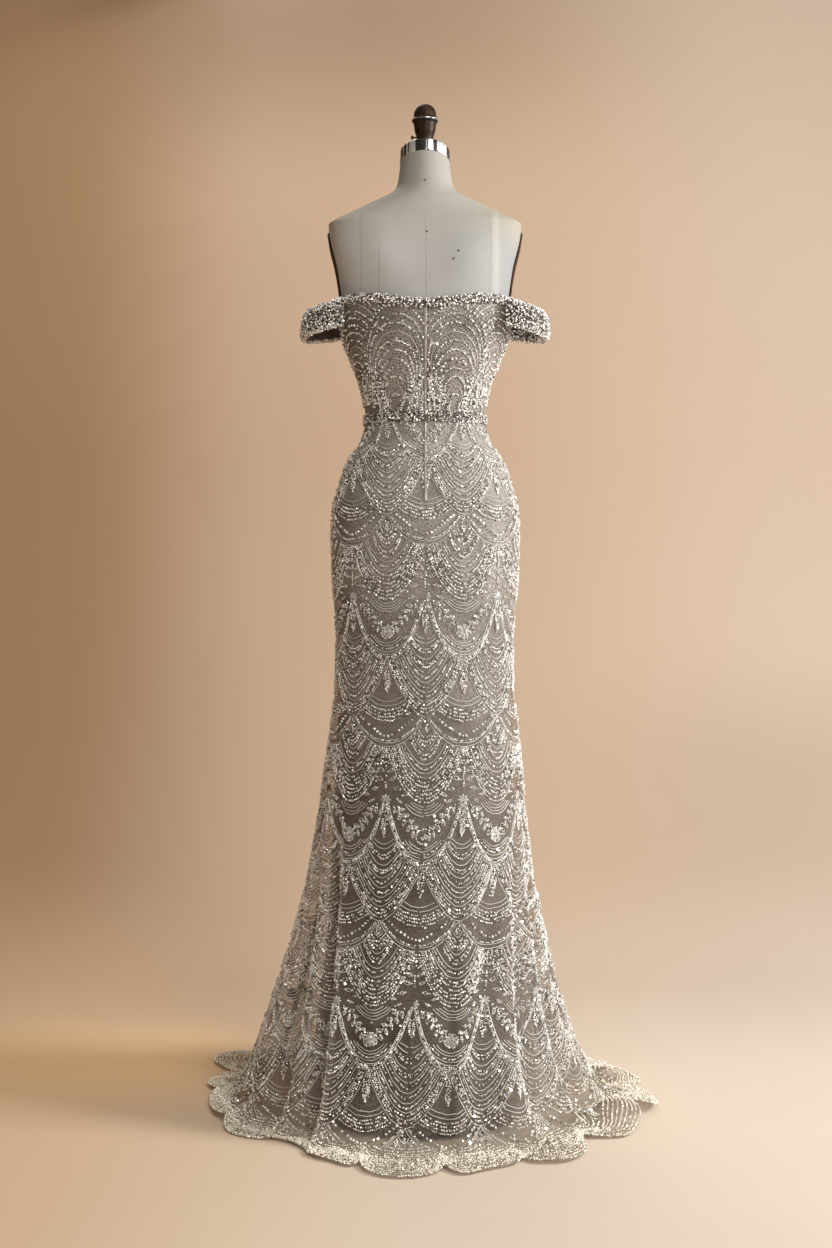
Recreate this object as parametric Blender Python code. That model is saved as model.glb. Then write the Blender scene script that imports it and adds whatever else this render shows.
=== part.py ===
"""Off-shoulder evening gown on a limbless dress form, in metres, +Z up.

The origin is on the floor, on the axis of the form's pole. -Y is the back of the gown, with its
zip, and +Y is its front. +X is the gown's own right side as it is seen from behind.

Every cloth piece is a wall that follows one of three surfaces: the figure of the form, the outer
skirt and its lining. A surface is a stack of rounded sections, a row of a table for each, and a
point on it is named by an angle round the figure and by a height or a length down the cloth. The
angle is 0 at the centre back and grows towards +X.
"""

import math

import bmesh
import bpy
from mathutils import Vector

# Heights of the figure
WAIST_Z = 1.206
FORM_BOTTOM_Z = 0.790
NECK_TOP_Z = 1.670
NECK_TILT_START_Z = 1.610
NECK_TILT = 0.26  # rise of the neck's top for each metre towards the back

# Cloth, as distances out from the figure
SEAM_GAP = 0.0003
FORM_EASE = 0.0010  # how much the form is smaller than the figure, under the gown
BODICE_INNER = 0.0008
BODICE_OUTER = 0.0030
LINING_INNER = 0.0007
LINING_WALL = 0.0010
SKIRT_INNER = 0.0022
SKIRT_WALL = 0.0014
ZIP_INNER = 0.0041
ZIP_OUTER = 0.0053
ZIP_WIDTH = 0.0040
ZIP_END_Z = 1.053
ZIP_STEPS = 26
TRIM_INNER = 0.0058
TRIM_OUTER = 0.0118

# Neckline and belt
NECKLINE_BACK_DIP = 0.012
NECKLINE_SIDE_Z = 1.413
NECKLINE_FRONT_DIP = 0.020
TRIM_HEIGHT = 0.014
TRIM_OVER_EDGE = 0.003
BELT_HEIGHT = 0.018
BELT_OUTER = 0.0070

# Hem
COLUMNS_PER_SCALLOP = 6
SCALLOP_DEPTH = 0.032
HEM_BORDER_RAISE = 0.0012  # how much the closely beaded border stands out of the net

# Sleeve bands
SLEEVE_WIDTH = 0.042
SLEEVE_END_WIDTH = 0.044
SLEEVE_THICKNESS = 0.0090
SLEEVE_END_THICKNESS = 0.0050
SLEEVE_REACH = 0.2160
SLEEVE_ROOT = 0.140
SLEEVE_HALF_DEPTH = 0.066
SLEEVE_ROOT_Z = 1.3930
SLEEVE_END_Z = 1.375
SLEEVE_FRONT_DROP = 0.002
SLEEVE_ROOT_ANGLE = math.radians(62)

# Stand
POLE_RADIUS = 0.016
BASE_RADIUS = 0.165
BASE_RIM = 0.010
HUB_RADIUS = 0.030
HUB_HEIGHT = 0.050
CAP_RADIUS = 0.0450
CAP_HEIGHT = 0.0225

# The figure: height, half width, depth to the back, depth to the front, squareness of the section
FIGURE = (
    (0.790, 0.1460, 0.0980, 0.0840, 2.30),
    (0.850, 0.1560, 0.1100, 0.0920, 2.30),
    (0.920, 0.1615, 0.1190, 0.0960, 2.30),
    (0.990, 0.1640, 0.1220, 0.0990, 2.30),
    (1.040, 0.1625, 0.1160, 0.1000, 2.28),
    (1.090, 0.1510, 0.1010, 0.0980, 2.25),
    (1.134, 0.1345, 0.0870, 0.0930, 2.20),
    (1.170, 0.1105, 0.0755, 0.0865, 2.15),
    (1.206, 0.1040, 0.0720, 0.0830, 2.12),
    (1.242, 0.1072, 0.0745, 0.0875, 2.15),
    (1.278, 0.1165, 0.0820, 0.0960, 2.20),
    (1.314, 0.1305, 0.0900, 0.1040, 2.25),
    (1.350, 0.1440, 0.0960, 0.1080, 2.30),
    (1.386, 0.1500, 0.0990, 0.1050, 2.35),
    (1.422, 0.1510, 0.1000, 0.0980, 2.40),
    (1.470, 0.1575, 0.0990, 0.0890, 2.60),
    (1.520, 0.1690, 0.0930, 0.0790, 2.80),
    (1.545, 0.1725, 0.0865, 0.0720, 2.75),
    (1.556, 0.1735, 0.0830, 0.0690, 2.65),
    (1.562, 0.1665, 0.0800, 0.0665, 2.55),
    (1.578, 0.1345, 0.0740, 0.0615, 2.30),
    (1.600, 0.0895, 0.0655, 0.0575, 2.10),
    (1.612, 0.0640, 0.0600, 0.0550, 2.02),
    (1.624, 0.0520, 0.0560, 0.0530, 2.00),
    (1.650, 0.0465, 0.0490, 0.0480, 2.00),
    (1.670, 0.0445, 0.0460, 0.0460, 2.00),
)
BUST = {"side": 0.080, "z": 1.342, "spread_x": 0.052, "spread_z": 0.048, "height": 0.024}
SHOULDER_BLADE = {"side": 0.085, "z": 1.480, "spread_x": 0.050, "spread_z": 0.055, "height": 0.006}

# Heights of the rings of the form and of the gown where it clings to it
CLING_Z = 0.900
FIGURE_RINGS = (
    0.790, 0.840, 0.900, 0.950, 1.000, 1.050, 1.085, 1.115, 1.145, 1.160, 1.175, 1.190, 1.206,
    1.236, 1.266, 1.296, 1.326, 1.356, 1.386, 1.420, 1.460, 1.500, 1.530, 1.547, 1.556, 1.563,
    1.578, 1.600, 1.612, 1.624, 1.670,
)  # fmt: skip
COLUMNS = 36

# The skirt below the hips: height, half width left, half width right, depth back, depth front
SKIRT = (
    (0.860, 0.1615, 0.1600, 0.1250, 0.0990),
    (0.810, 0.1590, 0.1570, 0.1280, 0.0990),
    (0.738, 0.1600, 0.1570, 0.1330, 0.1010),
    (0.666, 0.1670, 0.1640, 0.1430, 0.1070),
    (0.594, 0.1780, 0.1720, 0.1570, 0.1150),
    (0.522, 0.1880, 0.1780, 0.1750, 0.1250),
    (0.450, 0.1990, 0.1850, 0.1960, 0.1370),
    (0.378, 0.2110, 0.1930, 0.2190, 0.1510),
    (0.306, 0.2270, 0.2050, 0.2460, 0.1670),
    (0.234, 0.2470, 0.2180, 0.2780, 0.1860),
    (0.162, 0.2700, 0.2360, 0.3130, 0.2060),
    (0.100, 0.2900, 0.2560, 0.3450, 0.2240),
    (0.055, 0.3060, 0.2780, 0.3680, 0.2390),
    (0.026, 0.3200, 0.2960, 0.3860, 0.2520),
    (0.009, 0.3400, 0.3180, 0.4080, 0.2700),
    (0.0015, 0.3520, 0.3420, 0.4360, 0.2920),
    (0.0014, 0.3660, 0.3690, 0.4740, 0.3180),
    (0.0014, 0.3820, 0.3960, 0.5160, 0.3460),
)

# The lining below the hips, in the same columns
LINING = (
    (0.860, 0.1580, 0.1570, 0.1200, 0.0960),
    (0.810, 0.1550, 0.1540, 0.1210, 0.0950),
    (0.738, 0.1550, 0.1530, 0.1240, 0.0960),
    (0.594, 0.1600, 0.1560, 0.1400, 0.1020),
    (0.450, 0.1670, 0.1620, 0.1680, 0.1150),
    (0.306, 0.1740, 0.1690, 0.2060, 0.1330),
    (0.162, 0.1900, 0.1840, 0.2580, 0.1740),
    (0.060, 0.2040, 0.1980, 0.3020, 0.1960),
    (0.012, 0.2100, 0.2040, 0.3200, 0.2040),
)

# How the cloth's own lines turn round the skirt on their way down: angle at the knee, angle on
# the floor
DRIFT = (
    (-180, -180),
    (-125, -125),
    (-97, -94),
    (-67, -52),
    (-52, -35),
    (-45, -30),
    (-15, -16),
    (15, 4),
    (31, 10),
    (51, 31),
    (75, 66),
    (106, 107),
    (150, 150),
    (180, 180),
)
DRIFT_START_Z = 0.64

# Folds of the skirt, each along one line of the cloth: angle at the knee, half width in degrees,
# height out from the section (a trough is negative), lean along the ring, height where it starts
FOLDS = (
    (-44.0, 7.0, 0.014, -0.004, 0.62),
    (-52.5, 5.0, -0.036, 0.000, 0.66),
    (-60.0, 5.0, 0.012, 0.000, 0.58),
    (-67.5, 4.5, -0.026, 0.000, 0.54),
    (-80.0, 7.0, 0.010, 0.000, 0.50),
    (-97.5, 8.0, 0.010, 0.000, 0.50),
    (0.0, 12.0, -0.006, 0.000, 0.52),
    (30.0, 8.0, 0.010, 0.000, 0.62),
    (40.0, 6.0, -0.012, 0.000, 0.58),
    (50.0, 6.0, 0.012, 0.000, 0.62),
    (57.5, 4.0, -0.018, 0.000, 0.52),
    (65.0, 5.0, 0.012, 0.004, 0.52),
    (72.5, 4.5, -0.034, 0.000, 0.50),
    (90.0, 8.0, 0.012, 0.000, 0.48),
    (106.0, 7.0, -0.026, 0.000, 0.50),
    (124.0, 9.0, 0.012, 0.000, 0.52),
    (146.0, 8.0, -0.018, 0.000, 0.48),
    (170.0, 10.0, 0.010, 0.000, 0.50),
    (-112.0, 7.0, -0.028, 0.000, 0.52),
    (-130.0, 9.0, 0.014, 0.000, 0.50),
    (-152.0, 8.0, -0.018, 0.000, 0.46),
)
FOLD_FULL_Z = 0.12

# Waves of the cloth that lies on the floor: angle there, half width in degrees, lift at the crest
# and further reach of the hem
FLOOR_WAVES = (
    (-122, 13, 0.012, 0.085),
    (-94, 9, 0.010, 0.010),
    (-72, 9, 0.016, -0.006),
    (-42, 9, 0.006, -0.065),
    (-24, 7, 0.008, -0.040),
    (-7, 8, 0.006, 0.004),
    (12, 8, 0.010, -0.020),
    (34, 8, 0.014, 0.000),
    (48, 5, 0.006, -0.040),
    (70, 12, 0.030, 0.022),
    (104, 12, 0.022, 0.000),
    (136, 10, 0.012, 0.000),
    (162, 10, 0.014, 0.000),
    (-146, 10, 0.012, 0.000),
    (-170, 8, 0.008, 0.000),
)

# How many columns the flared skirt has for one of the figure's, up to an angle from the centre back
FLARE_SPLITS = ((50, 2), (100, 4), (180, 3))

# Rows of the skirt's and the lining's meshes, as heights, and then as shares of the floor part
CLINGING_RING_Z = (
    1.190, 1.175, 1.160, 1.145, 1.115, 1.085, 1.050, 1.000, 0.950, 0.900, 0.840,
)  # fmt: skip
SKIRT_RING_Z = (0.760, 0.680, 0.590, 0.490, 0.390, 0.290, 0.190, 0.100, 0.040)
FLOOR_SHARES = (0.12, 0.42, 0.74, 0.79, 1.0)
BORDER_SHARE = 0.79  # the beaded border covers the floor part from here to the hem
LINING_RING_Z = (0.700, 0.520, 0.340, 0.160, 0.012)

COLOURS = {
    "beaded_net": ((0.46, 0.42, 0.37), 0.50, 0.0),
    "lining_satin": ((0.33, 0.28, 0.23), 0.45, 0.0),
    "bead_trim": ((0.66, 0.64, 0.60), 0.25, 0.4),
    "zip_tape": ((0.50, 0.46, 0.41), 0.55, 0.0),
    "canvas": ((0.74, 0.72, 0.68), 0.80, 0.0),
    "nickel": ((0.62, 0.62, 0.63), 0.20, 1.0),
    "dark_wood": ((0.11, 0.055, 0.03), 0.40, 0.0),
    "dark_metal": ((0.03, 0.03, 0.04), 0.45, 0.6),
    "pole_steel": ((0.55, 0.55, 0.56), 0.30, 1.0),
    "cast_iron": ((0.05, 0.05, 0.05), 0.60, 0.5),
}


# ---------------------------------------------------------------- curves and sections


def clamp(value, low=0.0, high=1.0):
    return min(max(value, low), high)


def ease(share):
    """0 to 1 with no corner at either end."""
    share = clamp(share)
    return share * share * (3 - 2 * share)


def bell(offset, half_width):
    return math.exp(-((offset / half_width) ** 2))


def slope_at(rows, i, column):
    """The tangent at row i that lets the curve pass every row without a bump between them."""
    if i in (0, len(rows) - 1):
        i = max(1, i)
        return (rows[i][column] - rows[i - 1][column]) / (rows[i][0] - rows[i - 1][0])
    before = (rows[i][column] - rows[i - 1][column]) / (rows[i][0] - rows[i - 1][0])
    after = (rows[i + 1][column] - rows[i][column]) / (rows[i + 1][0] - rows[i][0])
    return 2 * before * after / (before + after) if before * after > 0 else 0.0


def read_rows(rows, key):
    """The columns after the first, on a smooth curve through rows, where the first column is key."""
    key = clamp(key, rows[0][0], rows[-1][0])
    i = max(k for k in range(len(rows) - 1) if rows[k][0] <= key)
    span = rows[i + 1][0] - rows[i][0]
    s = (key - rows[i][0]) / span
    found = []
    for column in range(1, len(rows[0])):
        start, end = rows[i][column], rows[i + 1][column]
        out, into = slope_at(rows, i, column) * span, slope_at(rows, i + 1, column) * span
        found.append(
            (1 + 2 * s) * (1 - s) ** 2 * start
            + s * (1 - s) ** 2 * out
            + s * s * (3 - 2 * s) * end
            + s * s * (s - 1) * into
        )
    return found


def ring_point(angle, left, right, back, front, squareness):
    """A point of a rounded section. The angle is 0 at the back and a quarter turn at +X."""
    across, along = math.sin(angle), math.cos(angle)
    x = math.copysign(abs(across) ** (2 / squareness), across) * (right if across > 0 else left)
    y = -math.copysign(abs(along) ** (2 / squareness), along) * (back if along > 0 else front)
    return x, y


# ---------------------------------------------------------------- the three surfaces


def figure_point(angle, z):
    """A point on the bare figure at a height."""
    half_width, back, front, squareness = read_rows(FIGURE, z)
    x, y = ring_point(angle, half_width, half_width, back, front, squareness)
    bump, sign = (SHOULDER_BLADE, -1) if y < 0 else (BUST, 1)
    swell = sum(bell(x - side * bump["side"], bump["spread_x"]) for side in (-1, 1))
    facing = ease(abs(y) / 0.05)
    y += sign * bump["height"] * swell * bell(z - bump["z"], bump["spread_z"]) * facing
    tilt = NECK_TILT * ease((z - NECK_TILT_START_Z) / (NECK_TOP_Z - NECK_TILT_START_Z))
    return Vector((x, y, z - tilt * y))


def cloth_rows(table, out):
    """A cloth's sections as rows of length down the cloth, height, and the ring's four radii.

    Above the hips the cloth lies out from the figure, and below them it follows its own table.
    """
    clinging = [z for z in reversed(FIGURE_RINGS) if CLING_Z <= z <= WAIST_Z]
    sections = []
    for z in clinging:
        half_width, back, front, _ = read_rows(FIGURE, z)
        sections.append((z, half_width + out, half_width + out, back + out, front + out))
    sections += table
    rows, length = [], 0.0
    for i, section in enumerate(sections):
        if i:
            drop = section[0] - sections[i - 1][0]
            spread = section[1] + section[2] - sections[i - 1][1] - sections[i - 1][2]
            length += math.hypot(drop, spread / 2)
        rows.append((length, *section))
    return rows


SKIRT_ROWS = cloth_rows(SKIRT, SKIRT_INNER + SKIRT_WALL)
LINING_ROWS = cloth_rows(LINING, LINING_INNER + LINING_WALL)
SKIRT_LENGTH = SKIRT_ROWS[-1][0]
FLOOR_START = SKIRT_ROWS[-4][0]


def squareness_at(z):
    return read_rows(FIGURE, z)[3] if z > FORM_BOTTOM_Z else 2.3 - 0.2 * ease((0.79 - z) / 0.6)


def length_at(rows, z):
    """The length down a cloth at which its section has height z."""
    low, high = rows[0][0], rows[-1][0]
    for _ in range(40):
        middle = (low + high) / 2
        if read_rows(rows, middle)[0] > z:
            low = middle
        else:
            high = middle
    return (low + high) / 2


def degrees_apart(a, b):
    return (a - b + 180) % 360 - 180


def drifted(angle, z):
    """The angle round the section where the cloth's line of an angle has got to at height z."""
    degrees = degrees_apart(math.degrees(angle), 0)
    turn = read_rows(DRIFT, degrees)[0] - degrees
    return angle + math.radians(turn) * ease((DRIFT_START_Z - z) / DRIFT_START_Z)


def fold_shift(angle, z):
    """(out, along): how far the skirt's folds move a point from its section."""
    degrees = math.degrees(angle)
    out = along = 0.0
    for line, half_width, height, lean, start_z in FOLDS:
        grown = ease((start_z - z) / (start_z - FOLD_FULL_Z))
        share = bell(degrees_apart(degrees, line), half_width) * grown
        out += height * share
        along += lean * share
    return out, along


def floor_wave(angle):
    """(lift, reach) of the cloth that lies on the floor, at an angle."""
    degrees = math.degrees(angle)
    lift = reach = 0.0
    for centre, half_width, height, further in FLOOR_WAVES:
        share = bell(degrees_apart(degrees, centre), half_width)
        lift += height * share
        reach += further * share
    return lift, reach


def skirt_point(angle, length):
    """A point on the skirt's outside, at a length down the cloth from the waist seam."""
    z, left, right, back, front = read_rows(SKIRT_ROWS, length)
    turned = drifted(angle, z)
    x, y = ring_point(turned, left, right, back, front, squareness_at(z))
    half_width, depth = (right if x > 0 else left), (back if y < 0 else front)
    normal = Vector((x / half_width**2, y / depth**2)).normalized()
    out, along = fold_shift(angle, z)
    lying = clamp((length - FLOOR_START) / (SKIRT_LENGTH - FLOOR_START))
    lift, reach = floor_wave(turned)
    out = out * (1 - 0.6 * ease(lying)) + reach * ease(lying)
    raised = lift * math.sin(math.pi * clamp(0.15 + 0.75 * lying)) * ease(lying / 0.3)
    return Vector(
        (x + normal.x * out - normal.y * along, y + normal.y * out + normal.x * along, z + raised)
    )


def lining_point(angle, length):
    """A point on the lining's outside, at a length down it from the waist seam."""
    z, left, right, back, front = read_rows(LINING_ROWS, length)
    x, y = ring_point(angle, left, right, back, front, squareness_at(z))
    return Vector((x, y, z))


def out_of(surface, angle, key, distance, downward):
    """A point a distance out from a surface, along its normal. downward says that key grows down."""
    step = 1e-4
    round_it = surface(angle + step, key) - surface(angle - step, key)
    down = surface(angle, key + step) - surface(angle, key - step)
    if not downward:
        down.negate()
    return surface(angle, key) + down.cross(round_it).normalized() * distance


# ---------------------------------------------------------------- meshes


def material_of(slot):
    """The Principled material of a slot, made once."""
    found = bpy.data.materials.get(slot)
    if found:
        return found
    colour, roughness, metallic = COLOURS[slot]
    made = bpy.data.materials.new(slot)
    made.use_nodes = True
    shader = made.node_tree.nodes["Principled BSDF"]
    shader.inputs["Base Color"].default_value = (*colour, 1)
    shader.inputs["Roughness"].default_value = roughness
    shader.inputs["Metallic"].default_value = metallic
    return made


def add_object(name, bm, slot, smooth=True):
    """Closes a bmesh into a named object with its faces pointing out."""
    bmesh.ops.recalc_face_normals(bm, faces=bm.faces)
    mesh = bpy.data.meshes.new(name)
    bm.to_mesh(mesh)
    bm.free()
    if smooth:
        mesh.shade_smooth()
        mesh.set_sharp_from_angle(angle=math.radians(50))
    mesh.materials.append(material_of(slot))
    obj = bpy.data.objects.new(name, mesh)
    bpy.context.scene.collection.objects.link(obj)
    return obj


def grid_faces(bm, grid, round_it=False):
    """Faces between neighbouring rows of vertices, where both rows have the same columns."""
    for upper, lower in zip(grid, grid[1:], strict=False):
        columns = len(upper)
        for i in range(columns if round_it else columns - 1):
            j = (i + 1) % columns
            bm.faces.new((upper[i], upper[j], lower[j], lower[i]))


def join_rows(bm, coarse, fine, splits):
    """Faces from a row to a finer one, which has splits[i] columns for column i of the first."""
    start = 0
    for i, split in enumerate(splits):
        fan = fine[start : start + split + 1]
        start += split
        middle = split // 2
        for k in range(middle):
            bm.faces.new((coarse[i], fan[k + 1], fan[k]))
        bm.faces.new((coarse[i], coarse[i + 1], fan[middle + 1], fan[middle]))
        for k in range(middle + 1, split):
            bm.faces.new((coarse[i + 1], fan[k + 1], fan[k]))


def add_wall(name, outer, inner, slot, splits=None):
    """A wall between two grids of points. With splits, its rows get finer by those at one row."""
    bm = bmesh.new()
    out = [[bm.verts.new(p) for p in row] for row in outer]
    into = [[bm.verts.new(p) for p in row] for row in inner]
    for grid in (out, into):
        for upper, lower in zip(grid, grid[1:], strict=False):
            if len(upper) == len(lower):
                grid_faces(bm, [upper, lower])
            else:
                join_rows(bm, upper, lower, splits)
    grid_faces(bm, [out[0], into[0]])
    grid_faces(bm, [out[-1], into[-1]])
    for edge in (0, -1):
        grid_faces(bm, [[row[edge] for row in out], [row[edge] for row in into]])
    return add_object(name, bm, slot)


def add_capped(name, rings, slot, smooth=True):
    """A solid through closed rings of points, with its first and last ring filled."""
    bm = bmesh.new()
    grid = [[bm.verts.new(p) for p in ring] for ring in rings]
    grid_faces(bm, grid, round_it=True)
    bm.faces.new(grid[0])
    bm.faces.new(grid[-1])
    return add_object(name, bm, slot, smooth)


def add_turned(name, profile, slot, columns=24, tilt=0.0):
    """A solid turned about the pole's axis through (radius, height) rows, its rings tilted.

    A third value in a row is that ring's own tilt.
    """
    rings = []
    for radius, z, *own in profile:
        lean = own[0] if own else tilt
        ring = []
        for i in range(columns):
            angle = 2 * math.pi * i / columns
            x, y = radius * math.sin(angle), -radius * math.cos(angle)
            ring.append((x, y, z - lean * y))
        rings.append(ring)
    return add_capped(name, rings, slot)


def pull_in(rows, gap):
    """Moves the first and last column of a grid in along the cloth, to leave a gap at its seams."""
    for row in rows:
        for edge, beside in ((0, 1), (-1, -2)):
            row[edge] = row[edge] + (row[beside] - row[edge]).normalized() * gap
    return rows


# ---------------------------------------------------------------- the dress form


def add_form():
    """The torso with its neck cap and finial, its two armhole plates, the pole and the base."""
    angles = [2 * math.pi * i / COLUMNS for i in range(COLUMNS)]
    rings = []
    for z in FIGURE_RINGS:
        ease_in = FORM_EASE if z < NECKLINE_SIDE_Z + TRIM_HEIGHT else 0.0
        rings.append([out_of(figure_point, a, z, -ease_in, downward=False) for a in angles])
    add_capped("form_torso", rings, "canvas")

    cap_z = NECK_TOP_Z + SEAM_GAP
    add_turned(
        "form_neck_cap",
        (
            (CAP_RADIUS, cap_z),
            (CAP_RADIUS, cap_z + 0.85 * CAP_HEIGHT),
            (CAP_RADIUS - 0.002, cap_z + 0.95 * CAP_HEIGHT),
            (CAP_RADIUS - 0.006, cap_z + CAP_HEIGHT),
            (0.016, cap_z + CAP_HEIGHT + 0.004, 0.0),
        ),
        "nickel",
        tilt=NECK_TILT,
    )
    finial_z = cap_z + CAP_HEIGHT + 0.004 + 0.0004
    finial = (  # radius, height above the finial's foot
        (0.0140, 0.0000),
        (0.0145, 0.0150),
        (0.0185, 0.0300),
        (0.0205, 0.0430),
        (0.0230, 0.0470),
        (0.0235, 0.0510),
        (0.0205, 0.0540),
        (0.0200, 0.0620),
        (0.0170, 0.0710),
        (0.0100, 0.0770),
        (0.0030, 0.0788),
    )
    add_turned("form_finial", [(r, finial_z + h) for r, h in finial], "dark_wood", columns=16)

    for side, name in ((-1, "left"), (1, "right")):
        add_arm_plate(f"form_armplate_{name}", side)

    add_turned(
        "form_pole",
        ((POLE_RADIUS, HUB_HEIGHT + SEAM_GAP), (POLE_RADIUS, FORM_BOTTOM_Z - SEAM_GAP)),
        "pole_steel",
        columns=16,
    )
    add_base()


def add_arm_plate(name, side):
    """The oval plate that closes an armhole, domed out from the torso's side."""
    centre_z, half_height, half_angle, thickness = 1.4860, 0.062, math.radians(16), 0.0026
    forward = math.radians(6)
    rim_steps, ring_shares = 16, (1.0, 0.95, 0.66, 0.36, 0.12)
    domes = (0.30, 0.80, 1.0, 1.0, 1.0)
    lift = 0.0014

    def place(share, step, out):
        turn = 2 * math.pi * step / rim_steps
        angle = side * (math.pi / 2 + forward) + half_angle * share * math.sin(turn)
        z = centre_z + half_height * share * math.cos(turn)
        return out_of(figure_point, angle, z, out, downward=False)

    under = [[place(s, i, lift) for i in range(rim_steps)] for s in reversed(ring_shares)]
    over = [
        [place(s, i, lift + thickness * dome) for i in range(rim_steps)]
        for s, dome in zip(ring_shares, domes, strict=True)
    ]
    add_capped(name, under + over, "dark_metal")


def add_base():
    """A round foot plate with a low hub that the pole stands on."""
    profile = (
        (BASE_RADIUS, 0.0),
        (BASE_RADIUS, BASE_RIM),
        (BASE_RADIUS - 0.006, BASE_RIM + 0.004),
        (HUB_RADIUS + 0.006, BASE_RIM + 0.012),
        (HUB_RADIUS, BASE_RIM + 0.018),
        (HUB_RADIUS, HUB_HEIGHT - 0.003),
        (HUB_RADIUS - 0.003, HUB_HEIGHT),
    )
    add_turned("form_base", profile, "cast_iron")


# ---------------------------------------------------------------- the bodice


def neckline_z(angle):
    """The height of the bodice's top edge: a shallow dip at the back, a sweetheart at the front."""
    along = math.cos(angle)
    if along > 0:
        from_back = degrees_apart(math.degrees(angle), 0)
        return NECKLINE_SIDE_Z + 0.004 - NECKLINE_BACK_DIP * bell(from_back, 22)
    from_front = abs(degrees_apart(math.degrees(angle), 180))
    cups = 0.008 * bell(from_front - 38, 20)
    dip = NECKLINE_FRONT_DIP * bell(from_front, 16)
    return NECKLINE_SIDE_Z + 0.004 * (1 + along) - cups * along - dip


def bodice_grid(angles, out):
    """Points of a bodice panel on the figure's own rings, between the waist seam and the neckline."""
    heights = [WAIST_Z + SEAM_GAP / 2]
    heights += [z for z in FIGURE_RINGS if WAIST_Z < z < NECKLINE_SIDE_Z - NECKLINE_FRONT_DIP]
    rows = [[out_of(figure_point, a, z, out, downward=False) for a in angles] for z in heights]
    return [*rows, [out_of(figure_point, a, neckline_z(a), out, downward=False) for a in angles]]


def angles_between(first, last):
    """The figure's column angles from first to last, which are in degrees."""
    step = 360 / COLUMNS
    return [math.radians(first + step * i) for i in range(round((last - first) / step) + 1)]


def add_bodice():
    """Two back panels that meet at the zip, and the front with its cups."""
    panels = {
        "bodice_back_left": angles_between(-90, 0),
        "bodice_back_right": angles_between(0, 90),
        "bodice_front": angles_between(90, 270),
    }
    for name, angles in panels.items():
        outer, inner = (
            pull_in(bodice_grid(angles, out), SEAM_GAP / 2)
            for out in (BODICE_OUTER, BODICE_INNER)
        )
        add_wall(name, outer, inner, "beaded_net")


def band_round(name, angles, centre_z, height, inner, outer, slot):
    """A band that follows the figure, open at the centre back."""
    shares = (-0.5, -0.3, 0.3, 0.5)
    swell = (0.35, 1.0, 1.0, 0.35)
    out_grid = [
        [
            out_of(figure_point, a, centre_z(a) + height * s, inner + (outer - inner) * w, False)
            for a in angles
        ]
        for s, w in zip(shares, swell, strict=True)
    ]
    in_grid = [
        [out_of(figure_point, a, centre_z(a) + height * s, inner, False) for a in angles]
        for s in shares
    ]
    add_wall(name, pull_in(out_grid, SEAM_GAP), pull_in(in_grid, SEAM_GAP), slot)


def add_trims():
    """The beaded roll along the neckline, the belt over the waist seam and the zip under both."""
    around = angles_between(0, 360)
    trim_middle = TRIM_HEIGHT / 2 - TRIM_OVER_EDGE
    band_round(
        "neckline_trim",
        around,
        lambda a: neckline_z(a) - trim_middle,
        TRIM_HEIGHT,
        TRIM_INNER,
        TRIM_OUTER,
        "bead_trim",
    )
    band_round(
        "waist_belt",
        around,
        lambda a: WAIST_Z,
        BELT_HEIGHT,
        TRIM_INNER,
        BELT_OUTER,
        "bead_trim",
    )

    zip_length = neckline_z(0) - 0.002 - ZIP_END_Z
    heights = [ZIP_END_Z + zip_length * i / ZIP_STEPS for i in range(ZIP_STEPS + 1)]
    outer, inner = (
        [
            [out_of(figure_point, side * ZIP_WIDTH / 2 / 0.09, z, out, False) for side in (-1, 0, 1)]
            for z in heights
        ]
        for out in (ZIP_OUTER, ZIP_INNER)
    )
    add_wall("back_zip", outer, inner, "zip_tape")


def add_sleeve(name, side):
    """A band that runs from the back of the neckline out round the upper arm and to its front."""
    steps, section = 14, 10
    rings = []
    for end in (-1, 1):
        angle = side * (math.pi / 2 + end * (math.pi / 2 - SLEEVE_ROOT_ANGLE))
        middle = SLEEVE_ROOT_Z - SLEEVE_FRONT_DROP * (end > 0)
        ring = []
        for i in range(section):
            a = 2 * math.pi * i / section
            spread = side * end * SLEEVE_END_THICKNESS / 2 * math.cos(a) / 0.13
            z = middle + SLEEVE_END_WIDTH / 2 * math.sin(a)
            ring.append(out_of(figure_point, angle + spread, z, TRIM_OUTER + SEAM_GAP + 0.0002, False))
        rings.append(ring)
    middle_rings = []
    for k in range(1, steps):
        turn = -math.pi / 2 + math.pi * k / steps
        reach = math.cos(turn) ** 0.8
        centre = Vector(
            (
                side * (SLEEVE_ROOT + (SLEEVE_REACH - SLEEVE_ROOT) * reach),
                SLEEVE_HALF_DEPTH * math.sin(turn),
                SLEEVE_ROOT_Z
                + (SLEEVE_END_Z - SLEEVE_ROOT_Z) * reach
                - SLEEVE_FRONT_DROP * ease((turn + 0.4) / 1.4),
            )
        )
        out_way = Vector((side * math.cos(turn), math.sin(turn) * 0.9, 0)).normalized()
        up_way = (Vector((0, 0, 1)) - out_way * 0.10).normalized()
        swell = ease(math.cos(turn) / 0.6)
        width = SLEEVE_END_WIDTH + (SLEEVE_WIDTH - SLEEVE_END_WIDTH) * swell
        thick = SLEEVE_END_THICKNESS + (SLEEVE_THICKNESS - SLEEVE_END_THICKNESS) * swell
        ring = []
        for i in range(section):
            a = 2 * math.pi * i / section
            ring.append(centre + out_way * (thick / 2 * math.cos(a)) + up_way * (width / 2 * math.sin(a)))
        middle_rings.append(ring)
    add_capped(name, [rings[0], *middle_rings, rings[1]], "bead_trim")


# ---------------------------------------------------------------- the skirt and its lining


def flare_splits(first, last):
    """How many columns the flared skirt has for each of the figure's, between two angles."""
    step = 360 // COLUMNS
    middles = [abs(degrees_apart(at + step / 2, 0)) for at in range(first, last, step)]
    return [next(split for limit, split in FLARE_SPLITS if middle < limit) for middle in middles]


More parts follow.
